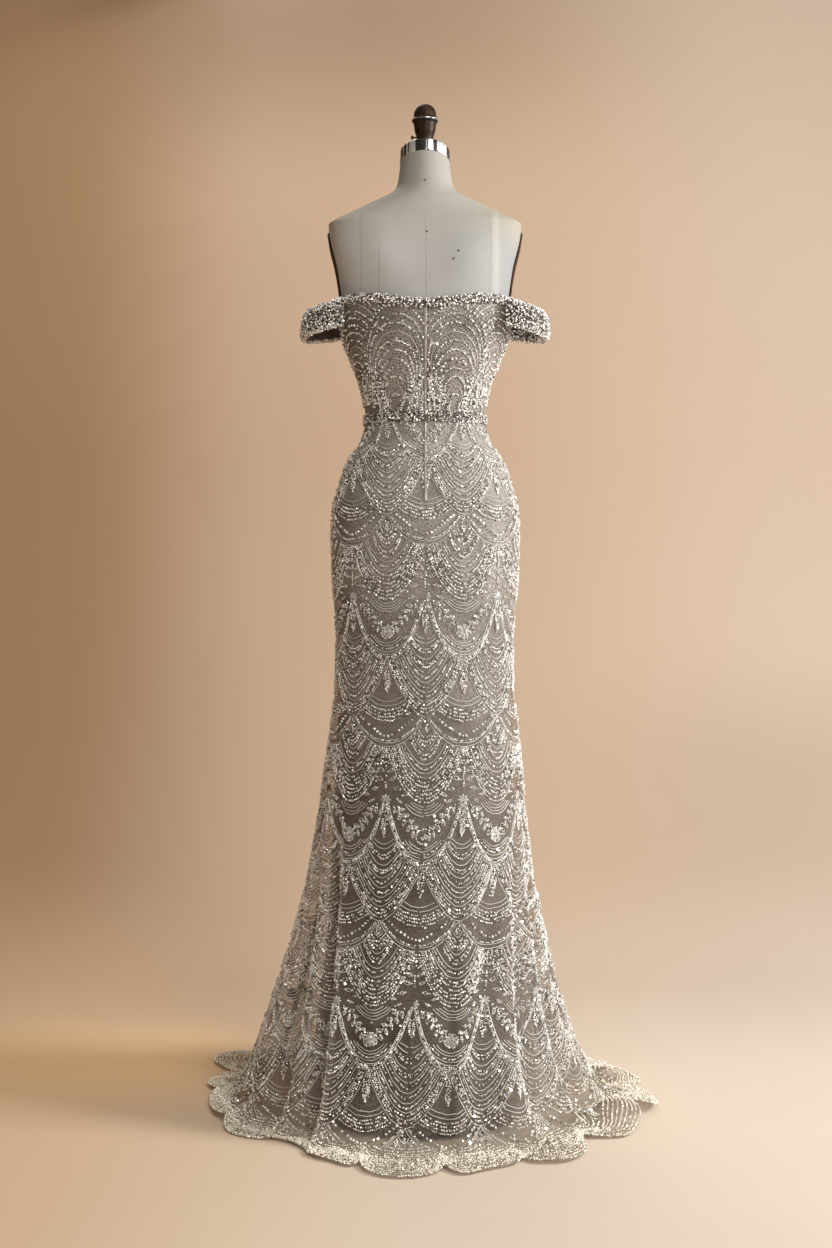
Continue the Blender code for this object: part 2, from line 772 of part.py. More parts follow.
def flare_angles(first, last):
    """The column angles of the flared skirt from first to last, which are in degrees."""
    step = 360 // COLUMNS
    angles = []
    for i, split in enumerate(flare_splits(first, last)):
        angles += [math.radians(first + step * (i + k / split)) for k in range(split)]
    return [*angles, math.radians(last)]


def columns_from_back(angle):
    """How many columns of the flared skirt there are from the centre back to an angle."""
    degrees = abs(degrees_apart(math.degrees(angle), 0))
    found = start = 0
    for limit, split in FLARE_SPLITS:
        found += (clamp(degrees, start, limit) - start) * split * COLUMNS / 360
        start = limit
    return found


def lobe(angle):
    """How far out of its notch a scallop is at an angle: 0 at the notch and 1 at its tip."""
    across = (columns_from_back(angle) / COLUMNS_PER_SCALLOP + 0.5) % 1 * 2 - 1
    return math.sqrt(max(0.0, 1 - across * across))


def skirt_lengths(angle):
    """Lengths down the cloth of the skirt's lower rows at an angle, the last on its scallops."""
    hanging = [length_at(SKIRT_ROWS, z) for z in SKIRT_RING_Z]
    hem = SKIRT_LENGTH - SCALLOP_DEPTH * (1 - lobe(angle))
    start = hanging[-1]
    return [*hanging, *(start + (hem - start) * share for share in FLOOR_SHARES)]


def skirt_wall_point(angle, length, raised=0.0):
    """The outer and the inner point of the skirt's wall, both clear of the floor.

    The outer one is raised where the cloth is closely beaded.
    """
    outer = out_of(skirt_point, angle, length, raised, downward=True)
    inner = out_of(skirt_point, angle, length, -SKIRT_WALL, downward=True)
    if inner.z < 0:
        inner.z = 0.0
        outer.z = max(outer.z, SKIRT_WALL + raised)
    return outer, inner


def add_skirt():
    """The outer skirt: two back panels and a front, each down to its scallops on the floor.

    Where it clings to the hips it has the figure's columns, and below them finer ones.
    """
    top = [length_at(SKIRT_ROWS, z) for z in (WAIST_Z - SEAM_GAP / 2, *CLINGING_RING_Z)]
    for name, first, last in (
        ("skirt_back_left", -90, 0),
        ("skirt_back_right", 0, 90),
        ("skirt_front", 90, 270),
    ):
        rows = [[skirt_wall_point(a, length) for a in angles_between(first, last)] for length in top]
        angles = flare_angles(first, last)
        lengths = [skirt_lengths(a) for a in angles]
        shares = [0.0] * len(SKIRT_RING_Z) + list(FLOOR_SHARES)
        for row, share in enumerate(shares):
            raised = HEM_BORDER_RAISE if share >= BORDER_SHARE else 0.0
            rows.append(
                [skirt_wall_point(a, ls[row], raised) for a, ls in zip(angles, lengths, strict=True)]
            )
        outer, inner = ([[pair[side] for pair in row] for row in rows] for side in (0, 1))
        splits = flare_splits(first, last)
        add_wall(
            name,
            pull_in(outer, SEAM_GAP / 2),
            pull_in(inner, SEAM_GAP / 2),
            "beaded_net",
            splits,
        )


def add_lining():
    """The plain lining that shows through the net, in a back and a front."""
    lengths = [length_at(LINING_ROWS, z) for z in (WAIST_Z - 0.002, *CLINGING_RING_Z, *LINING_RING_Z)]
    for name, first, last in (("lining_back", -90, 90), ("lining_front", 90, 270)):
        angles = angles_between(first, last)
        outer = [[lining_point(a, length) for a in angles] for length in lengths]
        inner = [
            [out_of(lining_point, a, length, -LINING_WALL, downward=True) for a in angles]
            for length in lengths
        ]
        add_wall(name, pull_in(outer, SEAM_GAP / 2), pull_in(inner, SEAM_GAP / 2), "lining_satin")


def main():
    for obj in list(bpy.data.objects):
        bpy.data.objects.remove(obj)
    add_form()
    add_bodice()
    add_trims()
    add_sleeve("sleeve_left", -1)
    add_sleeve("sleeve_right", 1)
    add_skirt()
    add_lining()


main()
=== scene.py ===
"""Looks of an off-shoulder beaded evening gown on a limbless dress form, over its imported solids.

Every cloth surface is the one its solid follows: a stack of rounded sections, named by an angle
round the figure (0 at the centre back, growing towards +X) and by a height or a length down the
cloth. Lace, beads and thread are laid out flat, in metres across and down the cloth, and are then
carried onto these surfaces.
"""

import logging
import math
from collections.abc import Callable, Sequence
from dataclasses import dataclass, field
from enum import Enum

import bmesh
import bpy
import numpy as np
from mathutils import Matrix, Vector


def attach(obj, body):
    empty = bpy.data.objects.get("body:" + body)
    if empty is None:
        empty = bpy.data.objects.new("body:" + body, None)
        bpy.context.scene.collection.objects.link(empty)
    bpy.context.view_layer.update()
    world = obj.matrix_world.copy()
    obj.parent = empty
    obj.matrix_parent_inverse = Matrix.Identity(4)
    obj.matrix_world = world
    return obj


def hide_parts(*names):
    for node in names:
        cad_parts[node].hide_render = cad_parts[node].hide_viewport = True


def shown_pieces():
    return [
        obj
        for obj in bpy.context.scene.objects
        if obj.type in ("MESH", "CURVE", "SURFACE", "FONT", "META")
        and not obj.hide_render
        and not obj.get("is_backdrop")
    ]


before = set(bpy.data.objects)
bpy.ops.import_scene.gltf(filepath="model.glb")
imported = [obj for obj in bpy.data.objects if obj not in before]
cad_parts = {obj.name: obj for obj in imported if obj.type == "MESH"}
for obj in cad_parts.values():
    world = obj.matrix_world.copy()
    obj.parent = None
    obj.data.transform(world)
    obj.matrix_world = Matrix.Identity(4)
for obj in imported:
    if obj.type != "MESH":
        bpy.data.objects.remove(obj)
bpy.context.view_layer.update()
LOG = logging.getLogger("evening_gown")

Grid = np.ndarray
Surface = Callable[[Grid, Grid], Grid]
Colour = tuple[float, float, float]
Place = tuple[float, float, float]
Material = bpy.types.Material
Mesh = bpy.types.Mesh
Node = bpy.types.Node
Piece = bpy.types.Object
Socket = bpy.types.NodeSocket
Tree = bpy.types.NodeTree

# ---------------------------------------------------------------- sizes shared by several pieces

WAIST_Z = 1.206
FORM_BOTTOM_Z = 0.790
NECK_TOP_Z = 1.670
NECK_TILT_START_Z = 1.610
NECK_TILT = 0.26
SEAM_GAP = 0.0003
FORM_EASE = 0.0010  # how far the canvas lies inside the figure, below the bodice's top
CLOTH = 0.0007  # thickness of the net and of the lining
SKIRT_OUT = 0.0036
LINING_OUT = 0.0017
BODICE_OUT = 0.0030
ZIP_END_Z = 1.053
CLOTH_RADIUS = 0.13  # what a band's angles are scaled by, to be metres of its cloth
SEQUIN = 0.0023
CRUST_ROW_STEP = 0.87
CRUST_MOVE = 0.36
BODY = "root"

# Height, half width, depth back, depth front, squareness
FIGURE = (
    (0.790, 0.1460, 0.0980, 0.0840, 2.30),
    (0.850, 0.1560, 0.1100, 0.0920, 2.30),
    (0.920, 0.1615, 0.1190, 0.0960, 2.30),
    (0.990, 0.1640, 0.1220, 0.0990, 2.30),
    (1.040, 0.1625, 0.1160, 0.1000, 2.28),
    (1.090, 0.1510, 0.1010, 0.0980, 2.25),
    (1.134, 0.1345, 0.0870, 0.0930, 2.20),
    (1.170, 0.1105, 0.0755, 0.0865, 2.15),
    (1.206, 0.1040, 0.0720, 0.0830, 2.12),
    (1.242, 0.1072, 0.0745, 0.0875, 2.15),
    (1.278, 0.1165, 0.0820, 0.0960, 2.20),
    (1.314, 0.1305, 0.0900, 0.1040, 2.25),
    (1.350, 0.1440, 0.0960, 0.1080, 2.30),
    (1.386, 0.1500, 0.0990, 0.1050, 2.35),
    (1.422, 0.1510, 0.1000, 0.0980, 2.40),
    (1.470, 0.1575, 0.0990, 0.0890, 2.60),
    (1.520, 0.1690, 0.0930, 0.0790, 2.80),
    (1.545, 0.1725, 0.0865, 0.0720, 2.75),
    (1.556, 0.1735, 0.0830, 0.0690, 2.65),
    (1.562, 0.1665, 0.0800, 0.0665, 2.55),
    (1.578, 0.1345, 0.0740, 0.0615, 2.30),
    (1.600, 0.0895, 0.0655, 0.0575, 2.10),
    (1.612, 0.0640, 0.0600, 0.0550, 2.02),
    (1.624, 0.0520, 0.0560, 0.0530, 2.00),
    (1.650, 0.0465, 0.0490, 0.0480, 2.00),
    (1.670, 0.0445, 0.0460, 0.0460, 2.00),
)
BUST = (0.080, 1.342, 0.052, 0.048, 0.024)  # side, height, spread across, spread up, depth
SHOULDER_BLADE = (0.085, 1.480, 0.050, 0.055, 0.006)
FULL_BUMP_DEPTH = 0.05
CLINGING_Z = (0.90, 0.95, 1.0, 1.05, 1.085, 1.115, 1.145, 1.16, 1.175, 1.19, 1.206)

# Height, half width left, half width right, depth back, depth front
SKIRT = (
    (0.860, 0.1615, 0.1600, 0.1250, 0.0990),
    (0.810, 0.1590, 0.1570, 0.1280, 0.0990),
    (0.738, 0.1600, 0.1570, 0.1330, 0.1010),
    (0.666, 0.1670, 0.1640, 0.1430, 0.1070),
    (0.594, 0.1780, 0.1720, 0.1570, 0.1150),
    (0.522, 0.1880, 0.1780, 0.1750, 0.1250),
    (0.450, 0.1990, 0.1850, 0.1960, 0.1370),
    (0.378, 0.2110, 0.1930, 0.2190, 0.1510),
    (0.306, 0.2270, 0.2050, 0.2460, 0.1670),
    (0.234, 0.2470, 0.2180, 0.2780, 0.1860),
    (0.162, 0.2700, 0.2360, 0.3130, 0.2060),
    (0.100, 0.2900, 0.2560, 0.3450, 0.2240),
    (0.055, 0.3060, 0.2780, 0.3680, 0.2390),
    (0.026, 0.3200, 0.2960, 0.3860, 0.2520),
    (0.009, 0.3400, 0.3180, 0.4080, 0.2700),
    (0.0015, 0.3520, 0.3420, 0.4360, 0.2920),
    (0.0014, 0.3660, 0.3690, 0.4740, 0.3180),
    (0.0014, 0.3820, 0.3960, 0.5160, 0.3460),
)
LINING = (
    (0.860, 0.1580, 0.1570, 0.1200, 0.0960),
    (0.810, 0.1550, 0.1540, 0.1210, 0.0950),
    (0.738, 0.1550, 0.1530, 0.1240, 0.0960),
    (0.594, 0.1600, 0.1560, 0.1400, 0.1020),
    (0.450, 0.1670, 0.1620, 0.1680, 0.1150),
    (0.306, 0.1740, 0.1690, 0.2060, 0.1330),
    (0.162, 0.1900, 0.1840, 0.2580, 0.1740),
    (0.060, 0.2040, 0.1980, 0.3020, 0.1960),
    (0.012, 0.2100, 0.2040, 0.3200, 0.2040),
)
# Angle of a line of the cloth at the knee, and the angle it has turned to on the floor
DRIFT = (
    (-180, -180), (-125, -125), (-97, -94), (-67, -52), (-52, -35), (-45, -30), (-15, -16),
    (15, 4), (31, 10), (51, 31), (75, 66), (106, 107), (150, 150), (180, 180),
)  # fmt: skip
DRIFT_START_Z = 0.64
CLOTH_SQUARENESS = (2.3, 0.2, 0.6)  # at the form's lower edge, lost below it, and over what drop
# Line of the cloth, half width in degrees, height (a trough is negative), lean, start height
FOLDS = (
    (-44.0, 7.0, 0.014, -0.004, 0.62),
    (-52.5, 5.0, -0.036, 0.000, 0.66),
    (-60.0, 5.0, 0.012, 0.000, 0.58),
    (-67.5, 4.5, -0.026, 0.000, 0.54),
    (-80.0, 7.0, 0.010, 0.000, 0.50),
    (-97.5, 8.0, 0.010, 0.000, 0.50),
    (0.0, 12.0, -0.006, 0.000, 0.52),
    (30.0, 8.0, 0.010, 0.000, 0.62),
    (40.0, 6.0, -0.012, 0.000, 0.58),
    (50.0, 6.0, 0.012, 0.000, 0.62),
    (57.5, 4.0, -0.018, 0.000, 0.52),
    (65.0, 5.0, 0.012, 0.004, 0.52),
    (72.5, 4.5, -0.034, 0.000, 0.50),
    (90.0, 8.0, 0.012, 0.000, 0.48),
    (106.0, 7.0, -0.026, 0.000, 0.50),
    (124.0, 9.0, 0.012, 0.000, 0.52),
    (146.0, 8.0, -0.018, 0.000, 0.48),
    (170.0, 10.0, 0.010, 0.000, 0.50),
    (-112.0, 7.0, -0.028, 0.000, 0.52),
    (-130.0, 9.0, 0.014, 0.000, 0.50),
    (-152.0, 8.0, -0.018, 0.000, 0.46),
)
FOLD_FULL_Z = 0.12
CREASE_WANDER = (3.0, 9.0)  # degrees, and turns of the wave for each metre down
CREASE_FADE = (0.03, 0.05)
# Softer creases between them: line, half width, height, where each is deepest and how long it is
CREASES = (
    (-34.0, 3.0, -0.0030, 0.30, 0.16),
    (-22.0, 3.5, 0.0026, 0.16, 0.12),
    (-10.0, 3.0, -0.0024, 0.10, 0.09),
    (8.0, 3.5, 0.0024, 0.14, 0.14),
    (20.0, 3.0, -0.0030, 0.22, 0.18),
    (35.0, 2.6, 0.0026, 0.34, 0.14),
    (45.0, 2.6, -0.0028, 0.18, 0.12),
    (81.0, 3.0, 0.0036, 0.16, 0.12),
    (97.0, 3.0, -0.0036, 0.24, 0.14),
    (116.0, 3.4, 0.0034, 0.18, 0.14),
    (135.0, 3.4, -0.0030, 0.28, 0.16),
    (158.0, 3.6, 0.0034, 0.16, 0.12),
    (-90.0, 3.0, -0.0036, 0.20, 0.14),
    (-121.0, 3.4, 0.0032, 0.26, 0.15),
    (-141.0, 3.4, -0.0034, 0.17, 0.12),
    (-165.0, 3.6, 0.0032, 0.22, 0.15),
)
# Angle on the floor, half width in degrees, lift at the crest and further reach of the hem
FLOOR_WAVES = (
    (-122, 13, 0.012, 0.085),
    (-94, 9, 0.010, 0.010),
    (-72, 9, 0.016, -0.006),
    (-42, 9, 0.006, -0.065),
    (-24, 7, 0.008, -0.040),
    (-7, 8, 0.006, 0.004),
    (12, 8, 0.010, -0.020),
    (34, 8, 0.014, 0.000),
    (48, 5, 0.006, -0.040),
    (70, 12, 0.030, 0.022),
    (104, 12, 0.022, 0.000),
    (136, 10, 0.012, 0.000),
    (162, 10, 0.014, 0.000),
    (-146, 10, 0.012, 0.000),
    (-170, 8, 0.008, 0.000),
)
FOLDS_LOST_ON_FLOOR = 0.6
WAVE_PHASE = (0.15, 0.75)
WAVE_RISE = 0.3
LINING_WAVE = (0.0016, 11, 2.0)  # height, waves round it and where they start
LINING_WAVE_RADIUS = 0.2
LINING_WAVE_Z = (0.7, 0.5)
FLARE_DEGREES = (0, 50, 100, 180)
FLARE_COLUMNS = (0, 10, 30, 54)
COLUMNS_PER_SCALLOP = 6
SCALLOP_DEPTH = 0.032
SHARP_ANGLE = math.radians(50)
NECKLINE_SIDE_Z = 1.413
NECKLINE_RISE = 0.004
# Depth, and half width in degrees
NECKLINE_BACK_DIP = (0.012, 22)
NECKLINE_FRONT_DIP = (0.020, 16)
CUPS = (0.008, 38, 20)  # height, degrees from the front and half width in degrees


# ---------------------------------------------------------------- curves and sections


def ease(share: Grid | float) -> Grid:
    """0 to 1 with no corner at either end."""
    share = np.clip(share, 0.0, 1.0)
    return share * share * (3 - 2 * share)


def bell(offset: Grid | float, half_width: float) -> Grid:
    """A smooth bump of height 1."""
    return np.exp(-((offset / half_width) ** 2))


def degrees_apart(a: Grid | float, b: float) -> Grid:
    """The signed turn from b to a, at most half a turn."""
    return (a - b + 180) % 360 - 180


class SmoothTable:
    """A curve that passes through each row of a table with no bump between them."""

    def __init__(self, rows: Sequence[Sequence[float]]) -> None:
        """Finds the slope at each row.

        Args:
            rows: A key, then the values there, in the order of the keys.
        """
        data = np.array(rows, float)
        self.keys = data[:, 0]
        self.values = data[:, 1:]
        step = np.diff(self.values, axis=0) / np.diff(self.keys)[:, None]
        product = step[:-1] * step[1:]
        total = np.where(product > 0, step[:-1] + step[1:], 1.0)
        middle = np.where(product > 0, 2 * product / total, 0.0)
        self.slopes = np.vstack([step[:1], middle, step[-1:]])

    def at(self, key: Grid | float) -> list[Grid]:
        """Reads the table.

        Args:
            key: Where to read it, held within its ends.

        Returns:
            One array for each column after the key.
        """
        key = np.clip(np.asarray(key, float), self.keys[0], self.keys[-1])
        i = np.clip(np.searchsorted(self.keys, key, side="right") - 1, 0, len(self.keys) - 2)
        span = self.keys[i + 1] - self.keys[i]
        s = (key - self.keys[i]) / span
        found = []
        for column in range(self.values.shape[1]):
            start, end = self.values[i, column], self.values[i + 1, column]
            out, into = self.slopes[i, column] * span, self.slopes[i + 1, column] * span
            found.append(
                (1 + 2 * s) * (1 - s) ** 2 * start
                + s * (1 - s) ** 2 * out
                + s * s * (3 - 2 * s) * end
                + s * s * (s - 1) * into
            )
        return found


FIGURE_TABLE = SmoothTable(FIGURE)
DRIFT_TABLE = SmoothTable(DRIFT)


def ring_point(
    angle: Grid, left: Grid, right: Grid, back: Grid, front: Grid, squareness: Grid
) -> tuple[Grid, Grid]:
    """A point of a rounded section.

    Args:
        angle: 0 at the back and a quarter turn at +X.
        left, right, back, front: The section's four radii.
        squareness: 2 for an ellipse, more for fuller corners.

    Returns:
        The point's x and y.
    """
    across, along = np.sin(angle), np.cos(angle)
    side, depth = np.where(across > 0, right, left), np.where(along > 0, back, front)
    x = np.sign(across) * np.abs(across) ** (2 / squareness) * side
    y = -np.sign(along) * np.abs(along) ** (2 / squareness) * depth
    return x, y


def figure_point(angle: Grid, z: Grid) -> Grid:
    """Points on the bare figure, at angles and heights."""
    angle, z = np.broadcast_arrays(np.asarray(angle, float), np.asarray(z, float))
    half_width, back, front, squareness = FIGURE_TABLE.at(z)
    x, y = ring_point(angle, half_width, half_width, back, front, squareness)
    facing = ease(np.abs(y) / FULL_BUMP_DEPTH)
    moved = y.copy()
    for bump, sign in ((SHOULDER_BLADE, -1), (BUST, 1)):
        side, height, across, up, depth = bump
        swell = bell(x - side, across) + bell(x + side, across)
        there = (y < 0) if sign < 0 else (y >= 0)
        moved += there * sign * depth * swell * bell(z - height, up) * facing
    tilt = NECK_TILT * ease((z - NECK_TILT_START_Z) / (NECK_TOP_Z - NECK_TILT_START_Z))
    return np.stack([x, moved, z - tilt * moved], axis=-1)


def cloth_table(table: Sequence[Sequence[float]], out: float) -> SmoothTable:
    """A cloth's sections, keyed by the length down it from the waist seam.

    Args:
        table: Its sections below the hips.
        out: How far it lies out from the figure above them.
    """
    sections = []
    for z in reversed(CLINGING_Z):
        half_width, back, front, _ = (float(value) for value in FIGURE_TABLE.at(z))
        sections.append((z, half_width + out, half_width + out, back + out, front + out))
    sections += table
    rows, length = [], 0.0
    for i, section in enumerate(sections):
        if i:
            drop = section[0] - sections[i - 1][0]
            spread = section[1] + section[2] - sections[i - 1][1] - sections[i - 1][2]
            length += math.hypot(drop, spread / 2)
        rows.append((length, *section))
    return SmoothTable(rows)


SKIRT_TABLE = cloth_table(SKIRT, SKIRT_OUT)
LINING_TABLE = cloth_table(LINING, LINING_OUT)
SKIRT_LENGTH = float(SKIRT_TABLE.keys[-1])
LINING_LENGTH = float(LINING_TABLE.keys[-1])
FLOOR_START = float(SKIRT_TABLE.keys[-4])


def squareness_at(z: Grid) -> Grid:
    """How full the corners of a cloth's section are at a height."""
    full, lost, drop = CLOTH_SQUARENESS
    return np.where(z > FORM_BOTTOM_Z, FIGURE_TABLE.at(z)[3], full - lost * ease((FORM_BOTTOM_Z - z) / drop))


def length_at(table: SmoothTable, z: float) -> float:
    """The length down a cloth at which its section has height z."""
    low, high = 0.0, float(table.keys[-1])
    for _ in range(40):
        middle = (low + high) / 2
        low, high = (middle, high) if float(table.at(middle)[0]) > z else (low, middle)
    return (low + high) / 2


def skirt_point(angle: Grid, length: Grid) -> Grid:
    """Points on the outside of the skirt, at angles and lengths down it from the waist seam."""
    angle, length = np.broadcast_arrays(np.asarray(angle, float), np.asarray(length, float))
    z, left, right, back, front = SKIRT_TABLE.at(length)
    degrees = degrees_apart(np.degrees(angle), 0)
    turn = DRIFT_TABLE.at(degrees)[0] - degrees
    turned = angle + np.radians(turn) * ease((DRIFT_START_Z - z) / DRIFT_START_Z)
    x, y = ring_point(turned, left, right, back, front, squareness_at(z))
    normal = np.stack([x / np.where(x > 0, right, left) ** 2, y / np.where(y < 0, back, front) ** 2])
    normal /= np.maximum(np.linalg.norm(normal, axis=0), 1e-9)
    out, along = np.zeros_like(x), np.zeros_like(x)
    for line, half_width, height, lean, start_z in FOLDS:
        share = bell(degrees_apart(degrees, line), half_width)
        share = share * ease((start_z - z) / (start_z - FOLD_FULL_Z))
        out += height * share
        along += lean * share
    for line, half_width, height, middle_z, spread_z in CREASES:
        wander = CREASE_WANDER[0] * np.sin(CREASE_WANDER[1] * (z + line))
        share = bell(degrees_apart(degrees, line) + wander, half_width)
        share = share * bell(z - middle_z, spread_z)
        out += height * share * ease((z - CREASE_FADE[0]) / CREASE_FADE[1])
    lying = np.clip((length - FLOOR_START) / (SKIRT_LENGTH - FLOOR_START), 0, 1)
    lift, reach = np.zeros_like(x), np.zeros_like(x)
    for centre, half_width, height, further in FLOOR_WAVES:
        share = bell(degrees_apart(np.degrees(turned), centre), half_width)
        lift += height * share
        reach += further * share
    out = out * (1 - FOLDS_LOST_ON_FLOOR * ease(lying)) + reach * ease(lying)
    phase = np.clip(WAVE_PHASE[0] + WAVE_PHASE[1] * lying, 0, 1)
    raised = lift * np.sin(np.pi * phase) * ease(lying / WAVE_RISE)
    moved_x = x + normal[0] * out - normal[1] * along
    moved_y = y + normal[1] * out + normal[0] * along
    return np.stack([moved_x, moved_y, z + raised], axis=-1)


def lining_point(angle: Grid, length: Grid) -> Grid:
    """Points on the outside of the lining, at angles and lengths down it."""
    angle, length = np.broadcast_arrays(np.asarray(angle, float), np.asarray(length, float))
    z, left, right, back, front = LINING_TABLE.at(length)
    x, y = ring_point(angle, left, right, back, front, squareness_at(z))
    height, count, first = LINING_WAVE
    soft = height * np.sin(count * angle + first) * ease((LINING_WAVE_Z[0] - z) / LINING_WAVE_Z[1])
    grown = 1 + soft / LINING_WAVE_RADIUS
    return np.stack([x * grown, y * grown, z], axis=-1)


def normals_of(surface: Surface, angle: Grid, key: Grid, downward: bool) -> Grid:
    """Outward unit normals of a surface.

    Args:
        surface: The function that gives its points.
        angle, key: Where to find them.
        downward: Whether the key grows down the cloth.
    """
    step = 2e-4
    round_it = surface(angle + step, key) - surface(angle - step, key)
    down = surface(angle, key + step) - surface(angle, key - step)
    normal = np.cross(down if downward else -down, round_it)
    return normal / np.maximum(np.linalg.norm(normal, axis=-1, keepdims=True), 1e-12)


def hem_length(angle: Grid) -> Grid:
    """The length down the skirt of its scalloped hem, at angles."""
    degrees = np.abs(degrees_apart(np.degrees(angle), 0))
    count = np.interp(degrees, FLARE_DEGREES, FLARE_COLUMNS)
    across = (count / COLUMNS_PER_SCALLOP + 0.5) % 1 * 2 - 1
    return SKIRT_LENGTH - SCALLOP_DEPTH * (1 - np.sqrt(np.maximum(0.0, 1 - across * across)))


def neckline_z(angle: Grid) -> Grid:
    """The height of the bodice's top edge, at angles."""
    along = np.cos(angle)
    depth, half_width = NECKLINE_BACK_DIP
    back = NECKLINE_SIDE_Z + NECKLINE_RISE - depth * bell(degrees_apart(np.degrees(angle), 0), half_width)
    from_front = np.abs(degrees_apart(np.degrees(angle), 180))
    cups = CUPS[0] * bell(from_front - CUPS[1], CUPS[2])
    depth, half_width = NECKLINE_FRONT_DIP
    front = NECKLINE_SIDE_Z + NECKLINE_RISE * (1 + along) - cups * along
    return np.where(along > 0, back, front - depth * bell(from_front, half_width))


def across_cloth(points: Grid) -> Grid:
    """How far along its own row each point of a grid lies."""
    steps = np.linalg.norm(np.diff(points, axis=1), axis=-1)
    return np.hstack([np.zeros((len(points), 1)), np.cumsum(steps, 1)])


def cloth_area(points: Grid) -> float:
    """The area of a cloth that follows a grid of points."""
    aside, down = np.diff(points, axis=1)[:-1], np.diff(points, axis=0)[:, :-1]
    return float(np.linalg.norm(np.cross(aside, down), axis=-1).sum())


def stretches(line: Grid, good: Grid) -> list[Grid]:
    """The stretches of a line whose points are all good."""
    marks = np.flatnonzero(np.diff(np.concatenate([[0], good.astype(int), [0]])))
    return [line[a:b] for a, b in zip(marks[::2], marks[1::2], strict=True) if b - a > 1]


def round_turn(count: int) -> Grid:
    """Even angles once round, the first of them 0."""
    return 2 * np.pi * np.arange(count) / count


# ---------------------------------------------------------------- meshes


def new_object(name: str, mesh: Mesh, material: Material | None) -> Piece:
    """Links a mesh into the scene as an object with one material."""
    if material is not None:
        mesh.materials.clear()
        mesh.materials.append(material)
    obj = bpy.data.objects.new(name, mesh)
    bpy.context.scene.collection.objects.link(obj)
    return obj


def quads_between(rows: int, columns: int, closed: bool) -> Grid:
    """Vertex numbers of the faces of a grid.

    Args:
        rows: Rows of vertices.
        columns: Vertices in a row.
        closed: Whether the last column meets the first.

    Returns:
        One row of four numbers for each face.
    """
    r, c = np.meshgrid(np.arange(rows - 1), np.arange(columns if closed else columns - 1), indexing="ij")
    right = (c + 1) % columns
    near, far = r * columns, (r + 1) * columns
    return np.stack([near + c, near + right, far + right, far + c], -1).reshape(-1, 4)


def mesh_from(name: str, points: Grid, faces: Sequence[Sequence[int]], uv: Grid | None = None) -> Mesh:
    """A mesh with its faces turned outwards.

    Args:
        name: Its name.
        points: Its vertices.
        faces: The vertex numbers of each face.
        uv: A place on the flat cloth for each vertex, in metres.
    """
    mesh = bpy.data.meshes.new(name)
    mesh.from_pydata([tuple(p) for p in np.asarray(points, float)], [], [tuple(map(int, f)) for f in faces])
    mesh.update()
    if uv is not None:
        layer = mesh.uv_layers.new(name="cloth")
        loops = np.zeros(len(mesh.loops), np.int32)
        mesh.loops.foreach_get("vertex_index", loops)
        layer.data.foreach_set("uv", np.asarray(uv, np.float32)[loops].ravel())
    bm = bmesh.new()
    bm.from_mesh(mesh)
    bmesh.ops.recalc_face_normals(bm, faces=bm.faces)
    bm.to_mesh(mesh)
    bm.free()
    mesh.shade_smooth()
    mesh.set_sharp_from_angle(angle=SHARP_ANGLE)
    return mesh


def shell_mesh(name: str, outer: Grid, inner: Grid, uv: Grid) -> Mesh:
    """A thin closed shell between two grids of points that have the same rows and columns."""
    rows, columns = outer.shape[:2]
    count = rows * columns
    faces = quads_between(rows, columns, False)
    numbers = np.arange(count).reshape(rows, columns)
    rims = []
    for line in (numbers[0], numbers[-1], numbers[:, 0], numbers[:, -1]):
        rims.append(np.stack([line[:-1], line[1:], line[1:] + count, line[:-1] + count], -1))
    every = np.vstack([faces, faces[:, ::-1] + count, *rims])
    points = np.vstack([outer.reshape(-1, 3), inner.reshape(-1, 3)])
    flat = uv.reshape(-1, 2)
    return mesh_from(name, points, every, np.vstack([flat, flat]))


def tube_mesh(name: str, rings: Grid, uv: Grid | None = None) -> Mesh:
    """A closed body through rings of points, with its first and last ring filled."""
    rows, columns = rings.shape[:2]
    faces = [tuple(f) for f in quads_between(rows, columns, True)]
    faces.append(tuple(range(columns)))
    faces.append(tuple(range((rows - 1) * columns, rows * columns)))
    flat = None if uv is None else uv.reshape(-1, 2)
    return mesh_from(name, rings.reshape(-1, 3), faces, flat)


def turned_rings(profile: Sequence[tuple[float, float]], columns: int) -> Grid:
    """Level rings about the pole's axis through (radius, height) rows."""
    x, y = np.sin(round_turn(columns)), -np.cos(round_turn(columns))
    return np.array([np.stack([radius * x, radius * y, np.full(columns, z)], -1) for radius, z in profile])


# ---------------------------------------------------------------- node graphs

NUMBER, COUNT, VECTOR = "NodeSocketFloat", "NodeSocketInt", "NodeSocketVector"


